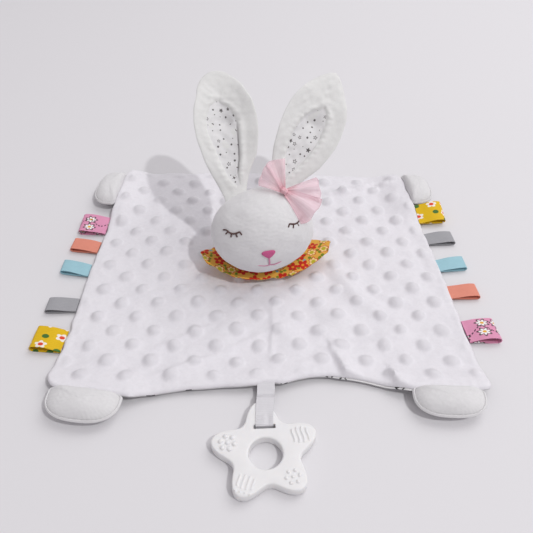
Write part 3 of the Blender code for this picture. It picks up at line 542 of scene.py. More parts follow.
def tulleMaterial():
    # fine net: see-through, denser towards the knot, with a painted highlight in a paler pink along its fold
    # streaks
    material, tree, shader = newMaterial("pink tulle", 0.7, 0.1, 0.5, 0.3)
    maths = mathsIn(tree)
    place = flatPlace(tree)
    near = maths("MULTIPLY_ADD", addNode(tree, "SeparateXYZ", {0: place})[0], -90.0, 1.05, clamp=True)
    fold = streaksOf(tree, place, (25.0, 420.0, 1.0))
    tint = mixColour(tree, near, (0.84, 0.56, 0.62), (0.80, 0.36, 0.41))
    # painted highlight: the paler pink where the fold streaks rise
    pale = maths("MULTIPLY_ADD", fold, 1.4, -0.35, clamp=True)
    solid = maths("SUBTRACT", maths("MULTIPLY_ADD", maths("POWER", near, 2.0), 0.42, 0.43), 0.11)
    setInputs(shader, {
        "Base Color": mixColour(tree, pale, tint, (0.92, 0.74, 0.80)),
        "Alpha": maths("MULTIPLY_ADD", fold, 0.22, solid, clamp=True),
    })
    return material


finishes = {
    "minky": plushMaterial("minky", (0.775, 0.76, 0.795), (0.74, 0.725, 0.76), 0.10, 380.0, 0.1, True),
    "velboa": plushMaterial("velboa", (0.715, 0.708, 0.716), (0.685, 0.678, 0.686), 0.11, 460.0, 0.25),
    "earVelboa": plushMaterial("ear velboa", (0.73, 0.73, 0.72), (0.70, 0.70, 0.69), 0.14, 420.0, 0.2),
    "brown": threadMaterial("brown thread", (0.055, 0.022, 0.020), (0.11, 0.05, 0.045)),
    "pink": threadMaterial("pink thread", (0.50, 0.06, 0.19), (0.64, 0.12, 0.31)),
    "rose": threadMaterial("rose thread", (0.60, 0.20, 0.35), (0.70, 0.30, 0.45)),
    "satin": satinMaterial(), "silicone": siliconeMaterial(), "tulle": tulleMaterial(),
}
wovenFinishes = {
    "ear cotton": (
        "grey star cotton", (0.745, 0.74, 0.745), "cotton", starPrint((0.12, 0.112, 0.112), 163.0, 0.345),
    ),
    "back cotton": (
        "black star cotton", (0.745, 0.74, 0.745), "cotton", starPrint((0.02, 0.018, 0.022), 85.0, 0.42),
    ),
    "neck cotton": ("neck cotton", (0.80, 0.79, 0.79)),
    "floral": ("floral cotton", (0.78, 0.42, 0.07), "cotton", floralPrint),
    "pink ribbon": ("pink ribbon print", (0.76, 0.32, 0.49), "ribbon", pinkPrint),
    "coral ribbon": ("coral ribbon", (0.78, 0.29, 0.21), "ribbon"),
    "blue ribbon": ("blue ribbon", (0.36, 0.60, 0.68), "ribbon"),
    "grey ribbon": ("grey ribbon", (0.37, 0.37, 0.39), "ribbon"),
    "yellow ribbon": ("yellow ribbon print", (0.78, 0.50, 0.012), "ribbon", yellowPrint),
}
finishes.update({key: wovenMaterial(*values) for key, values in wovenFinishes.items()})
print("materials made:", len(finishes))


# The blanket

blanket = {
    "width": 0.3, "depth": 0.245, "topFaces": (230, 190), "backFaces": (150, 122),
    "topCloth": 0.0009, "backCloth": 0.0006, "sewnGap": 0.0003, "hemCloth": 0.00028,
    "frontLift": 0.0075, "sideLift": 0.0016, "liftReach": 0.03, "sideReach": 0.014,
    "foldHeight": 0.0028, "frontShare": 0.486, "loft": 0.0011, "rim": 0.0034, "peep": 0.0013,
    "leftDraw": ((0, -0.001), (0.2, 0.019), (0.5, 0.029), (0.65, 0.042), (0.75, 0.046), (1, 0.064)),
    "rightDraw": (
        (0, -0.011), (0.06, 0), (0.12, 0.0095), (0.25, 0.0175), (0.42, 0.03), (0.57, 0.0408), (0.72, 0.0555),
        (0.87, 0.0712), (1, 0.082),
    ),
    "frontReach": (
        (0, 0.018), (0.1, 0.034), (0.186, 0.049), (0.2, 0.051), (0.218, 0.0445), (0.265, 0.0285),
        (0.317, 0.0165), (0.366, 0.0145), (0.429, 0.0143), (0.472, 0.01), (0.485, 0.002), (0.52, 0.002),
        (0.53, 0.0072), (0.546, -0.0023), (0.591, -0.0205), (0.636, -0.0275), (0.674, -0.0187),
        (0.724, -0.0102), (0.775, 0.0146), (0.813, 0.0245), (0.9, 0.029), (1, 0.034),
    ),
    "backDraw": ((0, 0.026), (0.15, 0.014), (0.4, 0.014), (0.6, 0.02), (0.85, 0.036), (1, 0.056)),
    "frontLifts": (
        (0, 0.3), (4 / 24, 0.35), (6 / 24, 0.4), (9 / 24, 0.5), (11 / 24, 0.75), (13 / 24, 0.75),
        (14.5 / 24, 0.6), (16 / 24, 0.45), (18 / 24, 0.4), (20 / 24, 0.4), (1, 0.3),
    ),
    "foldAngles": (-58, -22, 14, 44), "foldSpread": math.radians(8), "foldFrom": 0.36, "foldTo": 0.86,
    # dotShade: how much painted shade darkens each dot's disc
    "cornerPull": 0.0042, "cornerReach": 0.014, "edgeWave": 0.0006, "dotShade": 0.36,
    "dotRadius": 0.0062, "dotHeight": 0.0034, "dotStep": (0.015, 0.01365), "dotPlace": (0.0088, -0.0722),
    # height and size of the slow and the quick swells, the puckers at the hem, and the pile
    "slow": (0.00055, 0.045), "quick": (0.00025, 0.013), "puckers": (0.00035, 0.008),
    "pile": (0.00007, 0.0022), "puckerReach": 0.006, "hem": 0.002, "settle": 0.010, "deepest": 0.0005,
    # the share of painted highlight along the ridges' crests, full at the tall ridge height
    "ridgeHighlightShare": 0.25, "tall": 0.002,
    # ridges of the top cloth: two ends in x and y, width, height, and the left flank's share of the width
    "ridges": (
        (-0.0804, -0.114, -0.025, -0.0915, 0.0026, 0.0017, 1),
        (-0.036, -0.095, 0.0031, -0.0726, 0.0024, 0.0015, 1),
        (-0.0861, -0.0924, -0.0399, -0.0674, 0.0024, 0.0013, 1),
        (0.046, -0.089, 0.059, -0.126, 0.007, 0.0048, 0.3),
        (0.0845, -0.108, 0.0905, -0.13, 0.0056, 0.0036, 0.32),
        (0.05, -0.004, 0.078, -0.052, 0.009, 0.0036, 0.75), (0.06, -0.08, 0.104, -0.078, 0.003, 0.0014, 0.7),
        (-0.09, 0.02, -0.05, 0.012, 0.0034, 0.0011, 1), (0.062, 0.03, 0.118, 0.01, 0.004, 0.0012, 1),
        (0.005, -0.05, 0.003, -0.104, 0.0026, 0.0012, 0.7), (0.058, 0.088, 0.08, 0.093, 0.004, 0.004, 1),
        (0.08, 0.093, 0.097, 0.102, 0.004, 0.0038, 1), (0.103, 0.1, 0.114, 0.098, 0.0036, 0.003, 1),
        (-0.11, -0.04, -0.06, -0.03, 0.003, 0.001, 1), (0.07, -0.03, 0.118, -0.05, 0.0036, 0.0012, 1),
        (-0.1, 0.072, -0.04, 0.082, 0.004, 0.0012, 1), (0.012, 0.07, 0.03, 0.104, 0.0036, 0.0014, 1),
    ),
}
neckPlace = np.array((-0.003, -0.004, 0.0))
# each paw's seam as two places on the cloth
pawChords = {
    "front_left": ((0.02, 0), (0.186, 0)), "front_right": ((0.813, 0), (0.972, 0)),
    "back_left": ((0, 0.975), (0, 0.785)), "back_right": ((1, 0.815), (1, 0.99)),
}
paw = {
    "depth": {"front_left": 0.0232, "front_right": 0.0215, "back_left": 0.022, "back_right": 0.022},
    "thickness": 0.0165, "cloth": 0.0006, "sewnGap": 0.0003, "lip": 0.0017, "hingeLip": 0.0004,
    "lipRise": 0.0007, "around": 144, "rows": 44, "centre": 0.44, "broadest": 0.22,
    "lumps": (0.00035, 0.016), "pile": (0.0001, 0.003), "pucker": 0.00022, "puckers": 46,
}


def outlineAt(u, v):
    # between the drawn-in side edges in x, and between the front and back edges in y
    b = blanket
    left = (tableCurve(b["leftDraw"], v, 0.012) - 0.5) * b["width"]
    right = (0.5 - tableCurve(b["rightDraw"], v, 0.012)) * b["width"]
    front = -(b["frontShare"] + tableCurve(b["frontReach"], u, 0.010)) * b["depth"]
    back = (1 - b["frontShare"] - tableCurve(b["backDraw"], u, 0.012)) * b["depth"]
    return stacked(left + (right - left) * u, front + (back - front) * v, 0)


def toSegment(points, start, end):
    # how far each point is from the segment, and where along it its foot lies
    along = end - start
    share = np.clip((points - start) @ along / (along @ along), 0, 1)
    return np.linalg.norm(points - start - share[..., None] * along, axis=-1), share


def clothHeight(u, v):
    # height of the underside: up to the paws' seams, the ribbons and along the front
    b = blanket
    here = outlineAt(u, v)
    pawLift = (paw["thickness"] - b["backCloth"] - b["sewnGap"] - b["topCloth"]) / 2
    lifts = []
    for chord in pawChords.values():
        away, _ = toSegment(here, *(outlineAt(*place) for place in chord))
        lifts.append(pawLift * smoothStep(1 - away / b["liftReach"]))
    front, left, right = (
        np.linalg.norm(here - outlineAt(*edge), axis=-1) for edge in ((u, v * 0), (u * 0, v), (u * 0 + 1, v))
    )
    frontMost = b["frontLift"] * tableCurve(b["frontLifts"], u, 0.02)
    lifts.append(frontMost * smoothStep(1 - front / b["liftReach"]))
    lifts.append(b["sideLift"] * smoothStep(1 - np.minimum(left, right) / b["sideReach"]))
    return (np.array(lifts) ** 6).sum(0) ** (1 / 6)


def neckFolds(here):
    # folds that run out from the neck to the front, as bells round their bearings
    b = blanket
    away = here - neckPlace
    reach = np.linalg.norm(away, axis=-1) / (b["frontShare"] * b["depth"])
    inside = (reach - b["foldFrom"]) / (b["foldTo"] - b["foldFrom"])
    bearing = np.arctan2(away[..., 0], -away[..., 1])
    swell = sum(bell((bearing - math.radians(angle)) / b["foldSpread"]) for angle in b["foldAngles"])
    rise = np.sin(np.pi * np.clip(inside, 0, 1)) ** 2 * (away[..., 1] < 0)
    return b["foldHeight"] * np.minimum(swell, 1) * rise


def dotHeights(here):
    # domes on a diamond lattice, each a little off its place, size and height
    b = blanket
    warp = np.stack([softNoise(here, 0.07, 11), softNoise(here, 0.07, 12)], -1) * 0.0013
    spot = (here[..., :2] + warp - b["dotPlace"]) / b["dotStep"]
    s, t = np.round((spot[..., 0] + spot[..., 1]) / 2), np.round((spot[..., 0] - spot[..., 1]) / 2)
    shuffles = ((12.9, 78.2), (39.3, 11.1), (73.1, 52.2), (26.6, 93.9))
    chance = [np.modf(np.abs(np.sin(s * a + t * c) * 4375.85))[0] for a, c in shuffles]
    lattice = stacked(s + t + (chance[0] - 0.5) * 0.08, s - t + (chance[1] - 0.5) * 0.08)
    away = np.linalg.norm((spot - lattice) * b["dotStep"], axis=-1)
    reach = away / (b["dotRadius"] * (0.92 + 0.16 * chance[2]))
    dome = np.clip(1 - reach**2, 0, 1)
    height = b["dotHeight"] * (0.75 + 0.4 * chance[3]) * (dome - 0.12 * smoothStep(dome / 0.3)) / 0.88
    return height, smoothStep(1.6 * (1.02 - reach) / 0.5)


def edgeAway(u, v):
    # distance in from the nearest edge of the cloth
    across = np.minimum(u, 1 - u) * blanket["width"]
    return np.minimum(across, np.minimum(v, 1 - v) * blanket["depth"])


def softOutline(u, v):
    # the outline with its corners turned in round and its sewn edges a little wavy
    b = blanket
    here = outlineAt(u, v)
    for cornerU, cornerV in ((0, 0), (1, 0), (0, 1), (1, 1)):
        far = np.hypot((u - cornerU) * b["width"], (v - cornerV) * b["depth"])
        pull = b["cornerPull"] * np.maximum(1 - far / b["cornerReach"], 0) ** 2
        here[..., 0] += pull * (1 - 2 * cornerU)
        here[..., 1] += pull * (1 - 2 * cornerV) * 0.8
    wave = np.exp(-edgeAway(u, v) / 0.012) * b["edgeWave"]
    here[..., 0] += wave * softNoise(here, 0.016, 8)
    here[..., 1] += wave * softNoise(here, 0.014, 9)
    return here


def ridgesOver(here):
    # the highest of the ridges: a bell across each, narrower on its left flank, fading to its ends
    ridges = np.zeros(here.shape[:-1])
    for x0, y0, x1, y1, width, height, flank in blanket["ridges"]:
        far, share = toSegment(here, np.array((x0, y0, 0)), np.array((x1, y1, 0)))
        side = (x1 - x0) * (here[..., 1] - y0) - (y1 - y0) * (here[..., 0] - x0)
        fade = np.sin(np.pi * np.clip(share, 0.12, 0.88)) ** 0.7
        ridges = np.maximum(ridges, height * bell(far / (width * np.where(side < 0, flank, 1.0))) * fade)
    return ridges


def makeBlanket():
    # two shells over the outline, each at its own height, the top one with dots, folds and puckers
    b = blanket
    size = (b["width"], b["depth"])
    u, v = gridOf(*b["topFaces"])
    here, away = softOutline(u, v), edgeAway(u, v)
    # the cloth rolls over at its sewn edge like a quarter circle
    roll = np.sqrt(1 - (1 - np.clip(away / b["rim"], 0, 1)) ** 2)
    settled = smoothStep((away - b["hem"]) / b["settle"])
    ridges = ridgesOver(here)
    waves = b["slow"][0] + lumpsOn(here, b["slow"], 3) + lumpsOn(here, b["quick"], 4)
    puckers = lumpsOn(here, b["puckers"], 5) * np.exp(-away / b["puckerReach"])
    dots, discs = dotHeights(here)
    puffed = settled * (dots + np.maximum(waves, 0)) + roll**2 * ridges + puckers * roll
    inner = here.copy()
    inner[..., 2] = clothHeight(u, v) + b["backCloth"] + b["sewnGap"] + neckFolds(here)
    outer = inner.copy()
    cloth = b["hemCloth"] + roll * (b["topCloth"] + b["loft"] - b["hemCloth"])
    outer[..., 2] += cloth + np.maximum(puffed, -b["deepest"])
    outer[..., 2] += lumpsOn(here, b["pile"], 6) * roll
    top = putMesh("blanketTop", shellOf(outer, inner, stacked(u, v) * size))
    # painted light kept in the 'shade' attribute: painted shade darkens each dot's disc, and a painted
    # highlight lifts the colour along the ridges' crests
    ridgeHighlight = b["ridgeHighlightShare"] * np.minimum(ridges / b["tall"], 1) * (1 - discs)
    paintedDotShadeAndRidgeHighlight = 1 - b["dotShade"] * discs * settled + ridgeHighlight
    shade = top.data.attributes.new("shade", "FLOAT", "POINT")
    shade.data.foreach_set("value", np.tile(paintedDotShadeAndRidgeHighlight.ravel(), 2).astype(np.float32))
    dress(top, finishes["minky"], "blanket", ["blanket_top"])

    u, v = gridOf(*b["backFaces"])
    under = softOutline(u, v)
    under[..., 2] = clothHeight(u, v)
    # right of the strap the back cloth peeps out along the front
    peeping = smoothStep((u - 0.60) / 0.08) * smoothStep((0.86 - u) / 0.05)
    under[..., 1] -= b["peep"] * peeping * np.exp(-v / 0.01)
    back = putMesh("blanketBack", shellOf(under + (0, 0, b["backCloth"]), under, stacked(u, v) * size))
    dress(back, finishes["back cotton"], "blanket", ["blanket_back"])
    print("blanket made")


makeBlanket()


# The paws

def pawRim(angle, half, depth, edge):
    # nearly square at the seam with the blanket, and a deep round bow away from it
    broadest = paw["broadest"] * depth
    out = np.sin(angle)
    power = np.where(out > 0, 2.45, 4.5)
    reach = np.where(out > 0, depth - broadest, (broadest + edge) * 1.1)
    across = np.abs(np.cos(angle)) ** (2 / power) * np.copysign(half, np.cos(angle))
    far = broadest + np.abs(out) ** (2 / power) * np.copysign(reach, out)
    return stacked(across, np.maximum(far, -edge), 0)


def makePaw(corner, seed):
    # a puffed crown out to the stitched groove, then the lip of the seam, above and below alike
    ends = [outlineAt(*place) for place in pawChords[corner]]
    for end, place in zip(ends, pawChords[corner]):
        end[2] = clothHeight(*place)
    half = np.linalg.norm(ends[1] - ends[0]) / 2
    depth, most = paw["depth"][corner], paw["thickness"] / 2
    edge = paw["cloth"] + paw["sewnGap"] / 2
    around, row = gridOf(paw["around"], 2 * paw["rows"])
    angle = 2 * np.pi * around
    # more rows near the groove, at share 1, and on the lip, up to share 2, than in the middle
    share = 1 - np.abs(2 * row - 1)
    share = np.where(share < 0.7, np.sin(share / 0.7 * np.pi / 2), 1.0 + np.maximum(share - 0.7, 0) / 0.3)
    centre = np.array((0, paw["centre"] * depth, 0))
    spoke = pawRim(angle, half, depth, edge) - centre
    inward = np.maximum(-np.sin(angle), 0) ** 2
    lip = paw["lip"] + (paw["hingeLip"] - paw["lip"]) * inward
    foot = 1 - lip / np.linalg.norm(spoke, axis=-1)
    inside, beyond = np.minimum(share, 1), np.maximum(share - 1, 0)
    points = centre + spoke * (foot * inside + (1 - foot) * beyond)[..., None]
    crown = edge + (most - edge) * np.maximum(1 - inside ** (2.1 + 2.5 * inward), 0) ** (0.66 - 0.2 * inward)
    lipped = edge + paw["lipRise"] * (1 - inward) * np.sin(np.pi * np.clip(beyond * 1.2, 0, 1)) ** 0.8
    height = np.where(beyond > 0, lipped * np.sqrt(np.maximum(1 - beyond**3, 0)), crown)
    puff = smoothStep((1 - share) * 4) * (share < 1)
    uneven = lumpsOn(points + seed, paw["lumps"], seed) + lumpsOn(points, paw["pile"], seed + 1)
    pucker = bell((share - 1) / 0.16) * paw["pucker"] * (1 - inward) * np.cos(angle * paw["puckers"])
    height = np.minimum(height + puff * uneven + pucker, most + 0.0004)
    points[..., 2] = np.clip(np.where(row <= 0.5, 1.0, -1.0) * height, -most, None)
    flat = points[..., :2].copy()
    # turned and moved to lie along the cloth's edge
    origin, axes = hingeFrame(f"paw_{corner}_fold")
    chord, middle = (ends[1] - ends[0]) @ axes.T, ((ends[0] + ends[1]) / 2 - origin) @ axes.T
    points = points @ turnAbout("z", math.atan(chord[1] / chord[0])).T + (middle[0], middle[1], 0)
    name = "paw" + "".join(part.capitalize() for part in corner.split("_"))
    made = putMesh(name, solidOf(origin + points @ axes, flat), weld=True, sharp=70)
    replaced = [f"paw_{corner}_{part}" for part in ("top", "bottom", "filling")]
    dress(made, finishes["velboa"], f"paw_{corner}", replaced)


for number, corner in enumerate(pawChords):
    makePaw(corner, 20 + number)
print("paws made")


# The ribbon loops

ribbon = {
    "wall": 0.0004, "reach": 0.0228, "sewnGap": 0.0003, "along": 90, "across": 16, "bend": 0.0025,
    # by whether it is printed: width, gap between the legs, and bulge of the upper leg
    "width": (0.0128, 0.0195), "gap": (0.0032, 0.0044), "bulge": (0.0011, 0.0016),
    # by side: how far out it is shifted, and where the hem ends
    "out": {"left": 0, "right": 0.0013}, "hem": {"left": 0.0005, "right": 0.0024},
}
# name, whether printed, how far it leans in degrees, and how far back along the hem it is sewn
ribbons = (
    ("tag_left_1_pink_print", True, 2, 0.0020), ("tag_left_2_coral", False, 4, 0.0024),
    ("tag_left_3_blue", False, 9, 0.0030), ("tag_left_4_grey", False, -3, 0),
    ("tag_left_5_yellow_print", True, 3, -0.0008), ("tag_right_1_yellow_print", True, -2, 0.0035),
    ("tag_right_2_grey", False, 2, 0.0025), ("tag_right_3_blue", False, -3, 0.0025),
    ("tag_right_4_coral", False, 2, 0.0028), ("tag_right_5_pink_print", True, 4, 0.0030),
)


def loopPath(share, near, far, seam, radius):
    # out along the lower leg, round a half circle of this radius and back along the upper leg
    turn = far - radius
    angle = (share * 3 - 1.5) * np.pi
    out = np.where(share < 0.5, share * 3, (1 - share) * 3)
    height = seam + (radius - seam) * smoothStep(out)
    arc = (share >= 1 / 3) & (share <= 2 / 3)
    far = np.where(arc, turn + radius * np.cos(angle), near + (turn - near) * out)
    return far, np.where(arc, radius * np.sin(angle), np.where(share < 0.5, -height, height))


def clothStrip(name, middle, wall, flat):
    # a thin cloth: half its wall to each side of its middle sheet
    aside = gridNormals(middle) * wall / 2
    return putMesh(name, shellOf(middle + aside, middle - aside, flat))


def makeRibbons():
    # each is a loop's path carried across its width, leaning and bulging a little
    r = ribbon
    seam, edge = (r["sewnGap"] + r["wall"]) / 2, r["sewnGap"] / 2 + r["wall"]
    for number, (name, printed, lean, slide) in enumerate(ribbons):
        _, side, _, colour = name.split("_")[:4]
        width = r["width"][printed]
        along, across = gridOf(r["along"], r["across"])
        # closer steps round the turn at the far end
        share = along + 0.045 * np.sin(along * 2 * np.pi)
        far, up = loopPath(share, -edge, r["reach"], seam, (r["gap"][printed] + r["wall"]) / 2)
        belly = np.sin(np.pi * np.clip(far / r["reach"], 0, 1)) * (up > 0)
        twist = softNoise(stacked(far, across * width, number), 0.03, 40 + number)
        up = up + belly * r["bulge"][printed] * (0.8 + 0.5 * twist)
        origin, axes = hingeFrame(f"{name}_fold")
        leant = np.maximum(far, 0) * math.tan(math.radians(lean))
        x = (across - 0.5) * width + leant + slide * np.sign(axes[0][1])
        middle = origin + stacked(x, far + r["out"][side], up) @ axes
        flat = stacked(share * 2 * r["reach"] + number * 0.037, across * width)
        made = clothStrip(name.replace("tag_", "ribbon_"), middle, r["wall"], flat)
        dress(made, finishes[f"{colour} ribbon"], None, [name])
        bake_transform(made)
    print("ribbons made")


makeRibbons()


# The strap and the teether

strap = {
    "width": 0.0118, "wall": 0.0005, "free": 0.0105, "sewnGap": 0.0003, "askew": 0.0024, "bend": 0.003,
    "along": 220, "across": 24, "half": 0.46, "wrinkle": 0.00028, "wrinkleStep": 0.0021,
    "dent": 0.0005, "dive": 0.0009,
}
teether = {
    "tip": 0.035, "tips": (0.035, 0.0347, 0.0333, 0.0333, 0.0345), "valley": 0.0222, "hole": 0.0105,
    "thickness": 0.0066, "rimRound": 0.0013, "holeRound": 0.0012, "roundShare": 0.06, "under": 0.0007,
    "turn": math.radians(4.5), "ahead": 0.0018, "holeAhead": 0.0021, "slotRadius": 0.0182,
    "slotAhead": 0.0022, "slotSize": (0.0140, 0.0031, 0.0198), "faces": (400, 120), "crown": 0.0002,
    # how far out the middle of each arm's touch lies
    "touch": 0.0240,
}
strapEdge = strap["sewnGap"] / 2 + strap["wall"]
armStart = strapEdge * 2 + (teether["tip"] - teether["slotRadius"]) * 0.2
slotLine = armStart + teether["tip"] - teether["slotRadius"]


def makeStrap():
    # one ribbon: in along the under side, up through the slot and back along the upper side
    s, t = strap, teether
    origin, axes = hingeFrame("strap_fold")
    drop = s["sewnGap"] * 2 + s["wall"] + t["thickness"] / 2 - origin[2]
    seam, rise = (s["sewnGap"] + s["wall"]) / 2, t["thickness"] / 2 + s["sewnGap"] + s["wall"] / 2
    share, across = gridOf(s["along"], s["across"])
    last = s["free"] + slotLine + t["ahead"] + t["slotAhead"]
    total = last + strapEdge - 0.0004
    half = s["half"]
    lower, arc = share < half, (share >= half) & (share <= 1 - half)
    out = np.where(lower, share, 1 - share) / half
    far = np.where(arc, total, total * np.clip(out, 0, 1)) - strapEdge
    climb = smoothStep((far - s["free"] + strapEdge) / (armStart + t["rimRound"] * 0.4 + strapEdge))
    height = seam + (rise - seam) * climb
    angle = np.pi * ((share - half) / (1 - 2 * half) - 0.5)
    up = np.where(arc, rise * np.sin(angle), np.where(lower, -height, height))
    up = up + drop * smoothStep(far / s["free"])
    # on the upper leg: small wrinkles on one half where it goes down into the slot, and a long soft dent
    near = smoothStep((0.62 - across) / 0.3) * bell((far - last + 0.0042) / 0.0030)
    wrinkle = s["wrinkle"] * np.sin(far * 2 * np.pi / s["wrinkleStep"] + across * 2) * near
    dent = s["dent"] * bell((across - 0.72) / 0.16) * smoothStep((far - last + 0.012) / 0.008)
    dive = s["dive"] * smoothStep((far - last + 0.0016) / 0.0016)
    up = up + np.where(lower | arc, 0, wrinkle - dent - dive)
    # its root sits a little to one side, and it runs slightly askew
    narrowed = s["width"] * (1 - 0.05 * smoothStep((far - s["free"]) / 0.02))
    x = (0.5 - across) * narrowed - s["askew"] * (1 - smoothStep(far / last))
    length = 2 * total
    flat = stacked(share * length, across * s["width"])
    made = clothStrip("strapRibbon", origin + stacked(x, far, up) @ axes, s["wall"], flat)
    dress(made, finishes["satin"], None, ["strap_root", "strap_loop"])
    hinge = origin + np.array((0, s["free"], drop)) @ axes
    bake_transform(made)
    return hinge, axes


def makeTeether(hinge, axes):
    # a ring from the hole to a rim whose radius is a cosine of five times the bearing
    t = teether
    centre = hinge + np.array((0, slotLine + t["slotRadius"] + t["ahead"], 0)) @ axes
    around, section = gridOf(*t["faces"])
    angle = 2 * np.pi * around
    # section: 0 to 0.5 from the hole's wall over the top to the rim, then back underneath
    run = np.where(section <= 0.5, section, 1 - section) * 2
    wave = ((1 + np.cos(5 * (angle - t["turn"]))) / 2) ** 1.15
    arm = np.mod((angle - t["turn"]) / (2 * np.pi) * 5, 5)
    tips = np.array(t["tips"] + t["tips"][:1])
    rim = t["valley"] + (np.interp(arm, np.arange(6), tips) - t["valley"]) * wave
    inner, outer = t["hole"] + t["holeRound"], rim - t["rimRound"]
    half, part = t["thickness"] / 2, t["roundShare"]
    radius = inner + (outer - inner) * np.clip((run - part) / (1 - 2 * part), 0, 1)
    crown = t["crown"] * (1 - ((radius - inner) / (outer - inner) * 2 - 1) ** 2)
    height = np.full_like(radius, half)
    # the two ends of the section are quarter circles down to the middle height
    for near, fillet, foot, sign in ((run, t["holeRound"], inner, -1), (1 - run, t["rimRound"], outer, 1)):
        bow = np.clip(near / part, 0, 1) * np.pi / 2
        radius = np.where(near < part, foot + sign * fillet * np.cos(bow), radius)
        height = np.where(near < part, half - fillet + fillet * np.sin(bow), height)
    height = np.where((run == 0) | (run == 1), 0, height) + crown * ((run > part) & (run < 1 - part))
    x, y = np.sin(angle) * radius, -np.cos(angle) * radius + t["holeAhead"] * (1 - smoothStep(run * 1.15))
    height = height + np.where(section <= 0.5, teetherTexture(x, y), 0)
    below = -height - t["under"] * smoothStep(height / half * 2)
    points = stacked(x, y, np.where(section <= 0.5, height, below))
    made = putMesh("teetherStar", solidOf(centre + points @ axes, stacked(x, y)), weld=True, sharp=35)
    cutSlot(made, centre, axes)
    dress(made, finishes["silicone"], "teether", ["teether"])
    print("teether made")


def teetherTexture(x, y):
    # a different touch on each arm: beads, ridges ending in dots, small dots, and slanting waved ridges
    rise = np.zeros_like(x)
    # arms with beads: size, step and height
    for arm, (size, step, tall) in {1: (0.0016, 0.0044, 0.0013), 3: (0.0011, 0.0040, 0.0011)}.items():
        along, aside = onArm(x, y, arm)
        for row, count in ((-1, 2), (0, 3), (1, 2)):
            for place in range(count):
                far = np.hypot(along - (place - (count - 1) / 2) * step, aside - row * step * 0.90)
                rise = np.maximum(rise, tall * np.sqrt(np.clip(1 - (far / size) ** 2, 0, 1)))
    # arms with ridges: slant, half length, height, wave and dots' height
    ridged = {2: (12, 0.0052, 0.0005, 0, 0.0007), 4: (72, 0.0062, 0.0008, 0.0005, 0)}
    for arm, (slant, reach, tall, wave, dotted) in ridged.items():
        p, q, _ = np.moveaxis(stacked(*onArm(x, y, arm), 0) @ turnAbout("z", math.radians(slant)), -1, 0)
        for place in (-1.5, -0.5, 0.5, 1.5):
            middle = place * 0.0030
            far = np.abs(q - middle - wave * np.sin(p / 0.0019))
            end = smoothStep((reach - 0.0009 * abs(place) - np.abs(p)) / 0.0007)
            dot = dotted * smoothStep(1.3 - np.hypot(p - 0.0066, q - middle) / 0.0007)
            rise = np.maximum(rise, np.maximum(tall * smoothStep(1.25 - far / 0.00075) * end, dot))
    return rise


def onArm(x, y, arm):
    # places along and across this arm of the star, from the middle of its touch
    bearing = 2 * math.pi * arm / 5 + teether["turn"]
    s, c = math.sin(bearing), -math.cos(bearing)
    return x * s + y * c - teether["touch"], -x * c + y * s


def cutSlot(obj, centre, axes):
    # the slot that the strap runs through, cut straight down through the arm
    t = teether
    form = bmesh.new()
    bmesh.ops.create_cube(form, size=1)
    upright = [edge for edge in form.edges if abs(edge.verts[0].co.z - edge.verts[1].co.z) > 0.5]
    bmesh.ops.bevel(form, geom=upright, offset=0.04, segments=3, affect="EDGES")
    for vertex in form.verts:
        local = np.array(vertex.co) * t["slotSize"] + (0, t["slotAhead"] - t["slotRadius"], 0)
        vertex.co = centre + local @ axes
    bmesh.ops.recalc_face_normals(form, faces=form.faces)
    if form.calc_volume(signed=True) < 0:
        bmesh.ops.reverse_faces(form, faces=form.faces)
    mesh = bpy.data.meshes.new("slotCutter")
    form.to_mesh(mesh)
    form.free()
    cutter = putObject("slotCutter", mesh)
    boolean = obj.modifiers.new("slot", "BOOLEAN")
    boolean.object = cutter
    boolean.solver = "EXACT"
    graph = bpy.context.evaluated_depsgraph_get()
    cut = bpy.data.meshes.new_from_object(obj.evaluated_get(graph))
    obj.modifiers.clear()
    obj.data = cut
    smoothShade(cut, 35)
    bpy.data.objects.remove(cutter)


makeTeether(*makeStrap())


# The neck and the head

head = {
    "sizes": np.array((0.039, 0.031, 0.032)), "around": 220, "rows": 150,
    "pitch": math.radians(-30), "yaw": math.radians(6.5), "roll": math.radians(-5),
    "seam": math.pi / 2 + math.asin(0.004 / 0.031), "seamWidth": 0.030, "seamDepth": 0.0011,
    "stitchDepth": 0.0002, "stitches": 60, "loft": 0.0002,
    # height and size of the filling's slow and quick lumps, and of the pile
    "lumps": ((0.0005, 0.045), (0.00022, 0.012), (0.00009, 0.003)),
}
neck = {
    "radius": 0.009, "crown": 0.0052, "shoulder": 0.0029, "rise": 0.0021, "thread": 0.0006,
    "clothTop": 0.0018, "pleats": 22, "pleatDepth": 0.00035, "twists": 40, "twistDepth": 0.12,
}
partGap = 0.0003
neckOrigin = neckPlace + (0, 0, neck["clothTop"] + partGap + neck["rise"])
neckTurn = turnAbout("z", head["yaw"])
headInNeck = turnAbout("x", head["pitch"]) @ turnAbout("y", head["roll"])
headDown = headInNeck.T @ np.array((0, 0, -1.0))
headRise = neck["crown"] + partGap + 1 / np.linalg.norm(headDown / head["sizes"])
headOrigin = neckOrigin + (0, 0, headRise)
headTurn = neckTurn @ headInNeck


def fromHead(points):
    # the head's coordinates turned and moved into the frame's
    return headOrigin + points @ headTurn.T


def fromNeck(points):
    # the neck's coordinates turned and moved into the frame's
    return neckOrigin + points @ neckTurn.T


def headNormal(points):
    # the slope of the head's ellipsoid: each coordinate over its half size squared
    return unit(points / head["sizes"] ** 2)


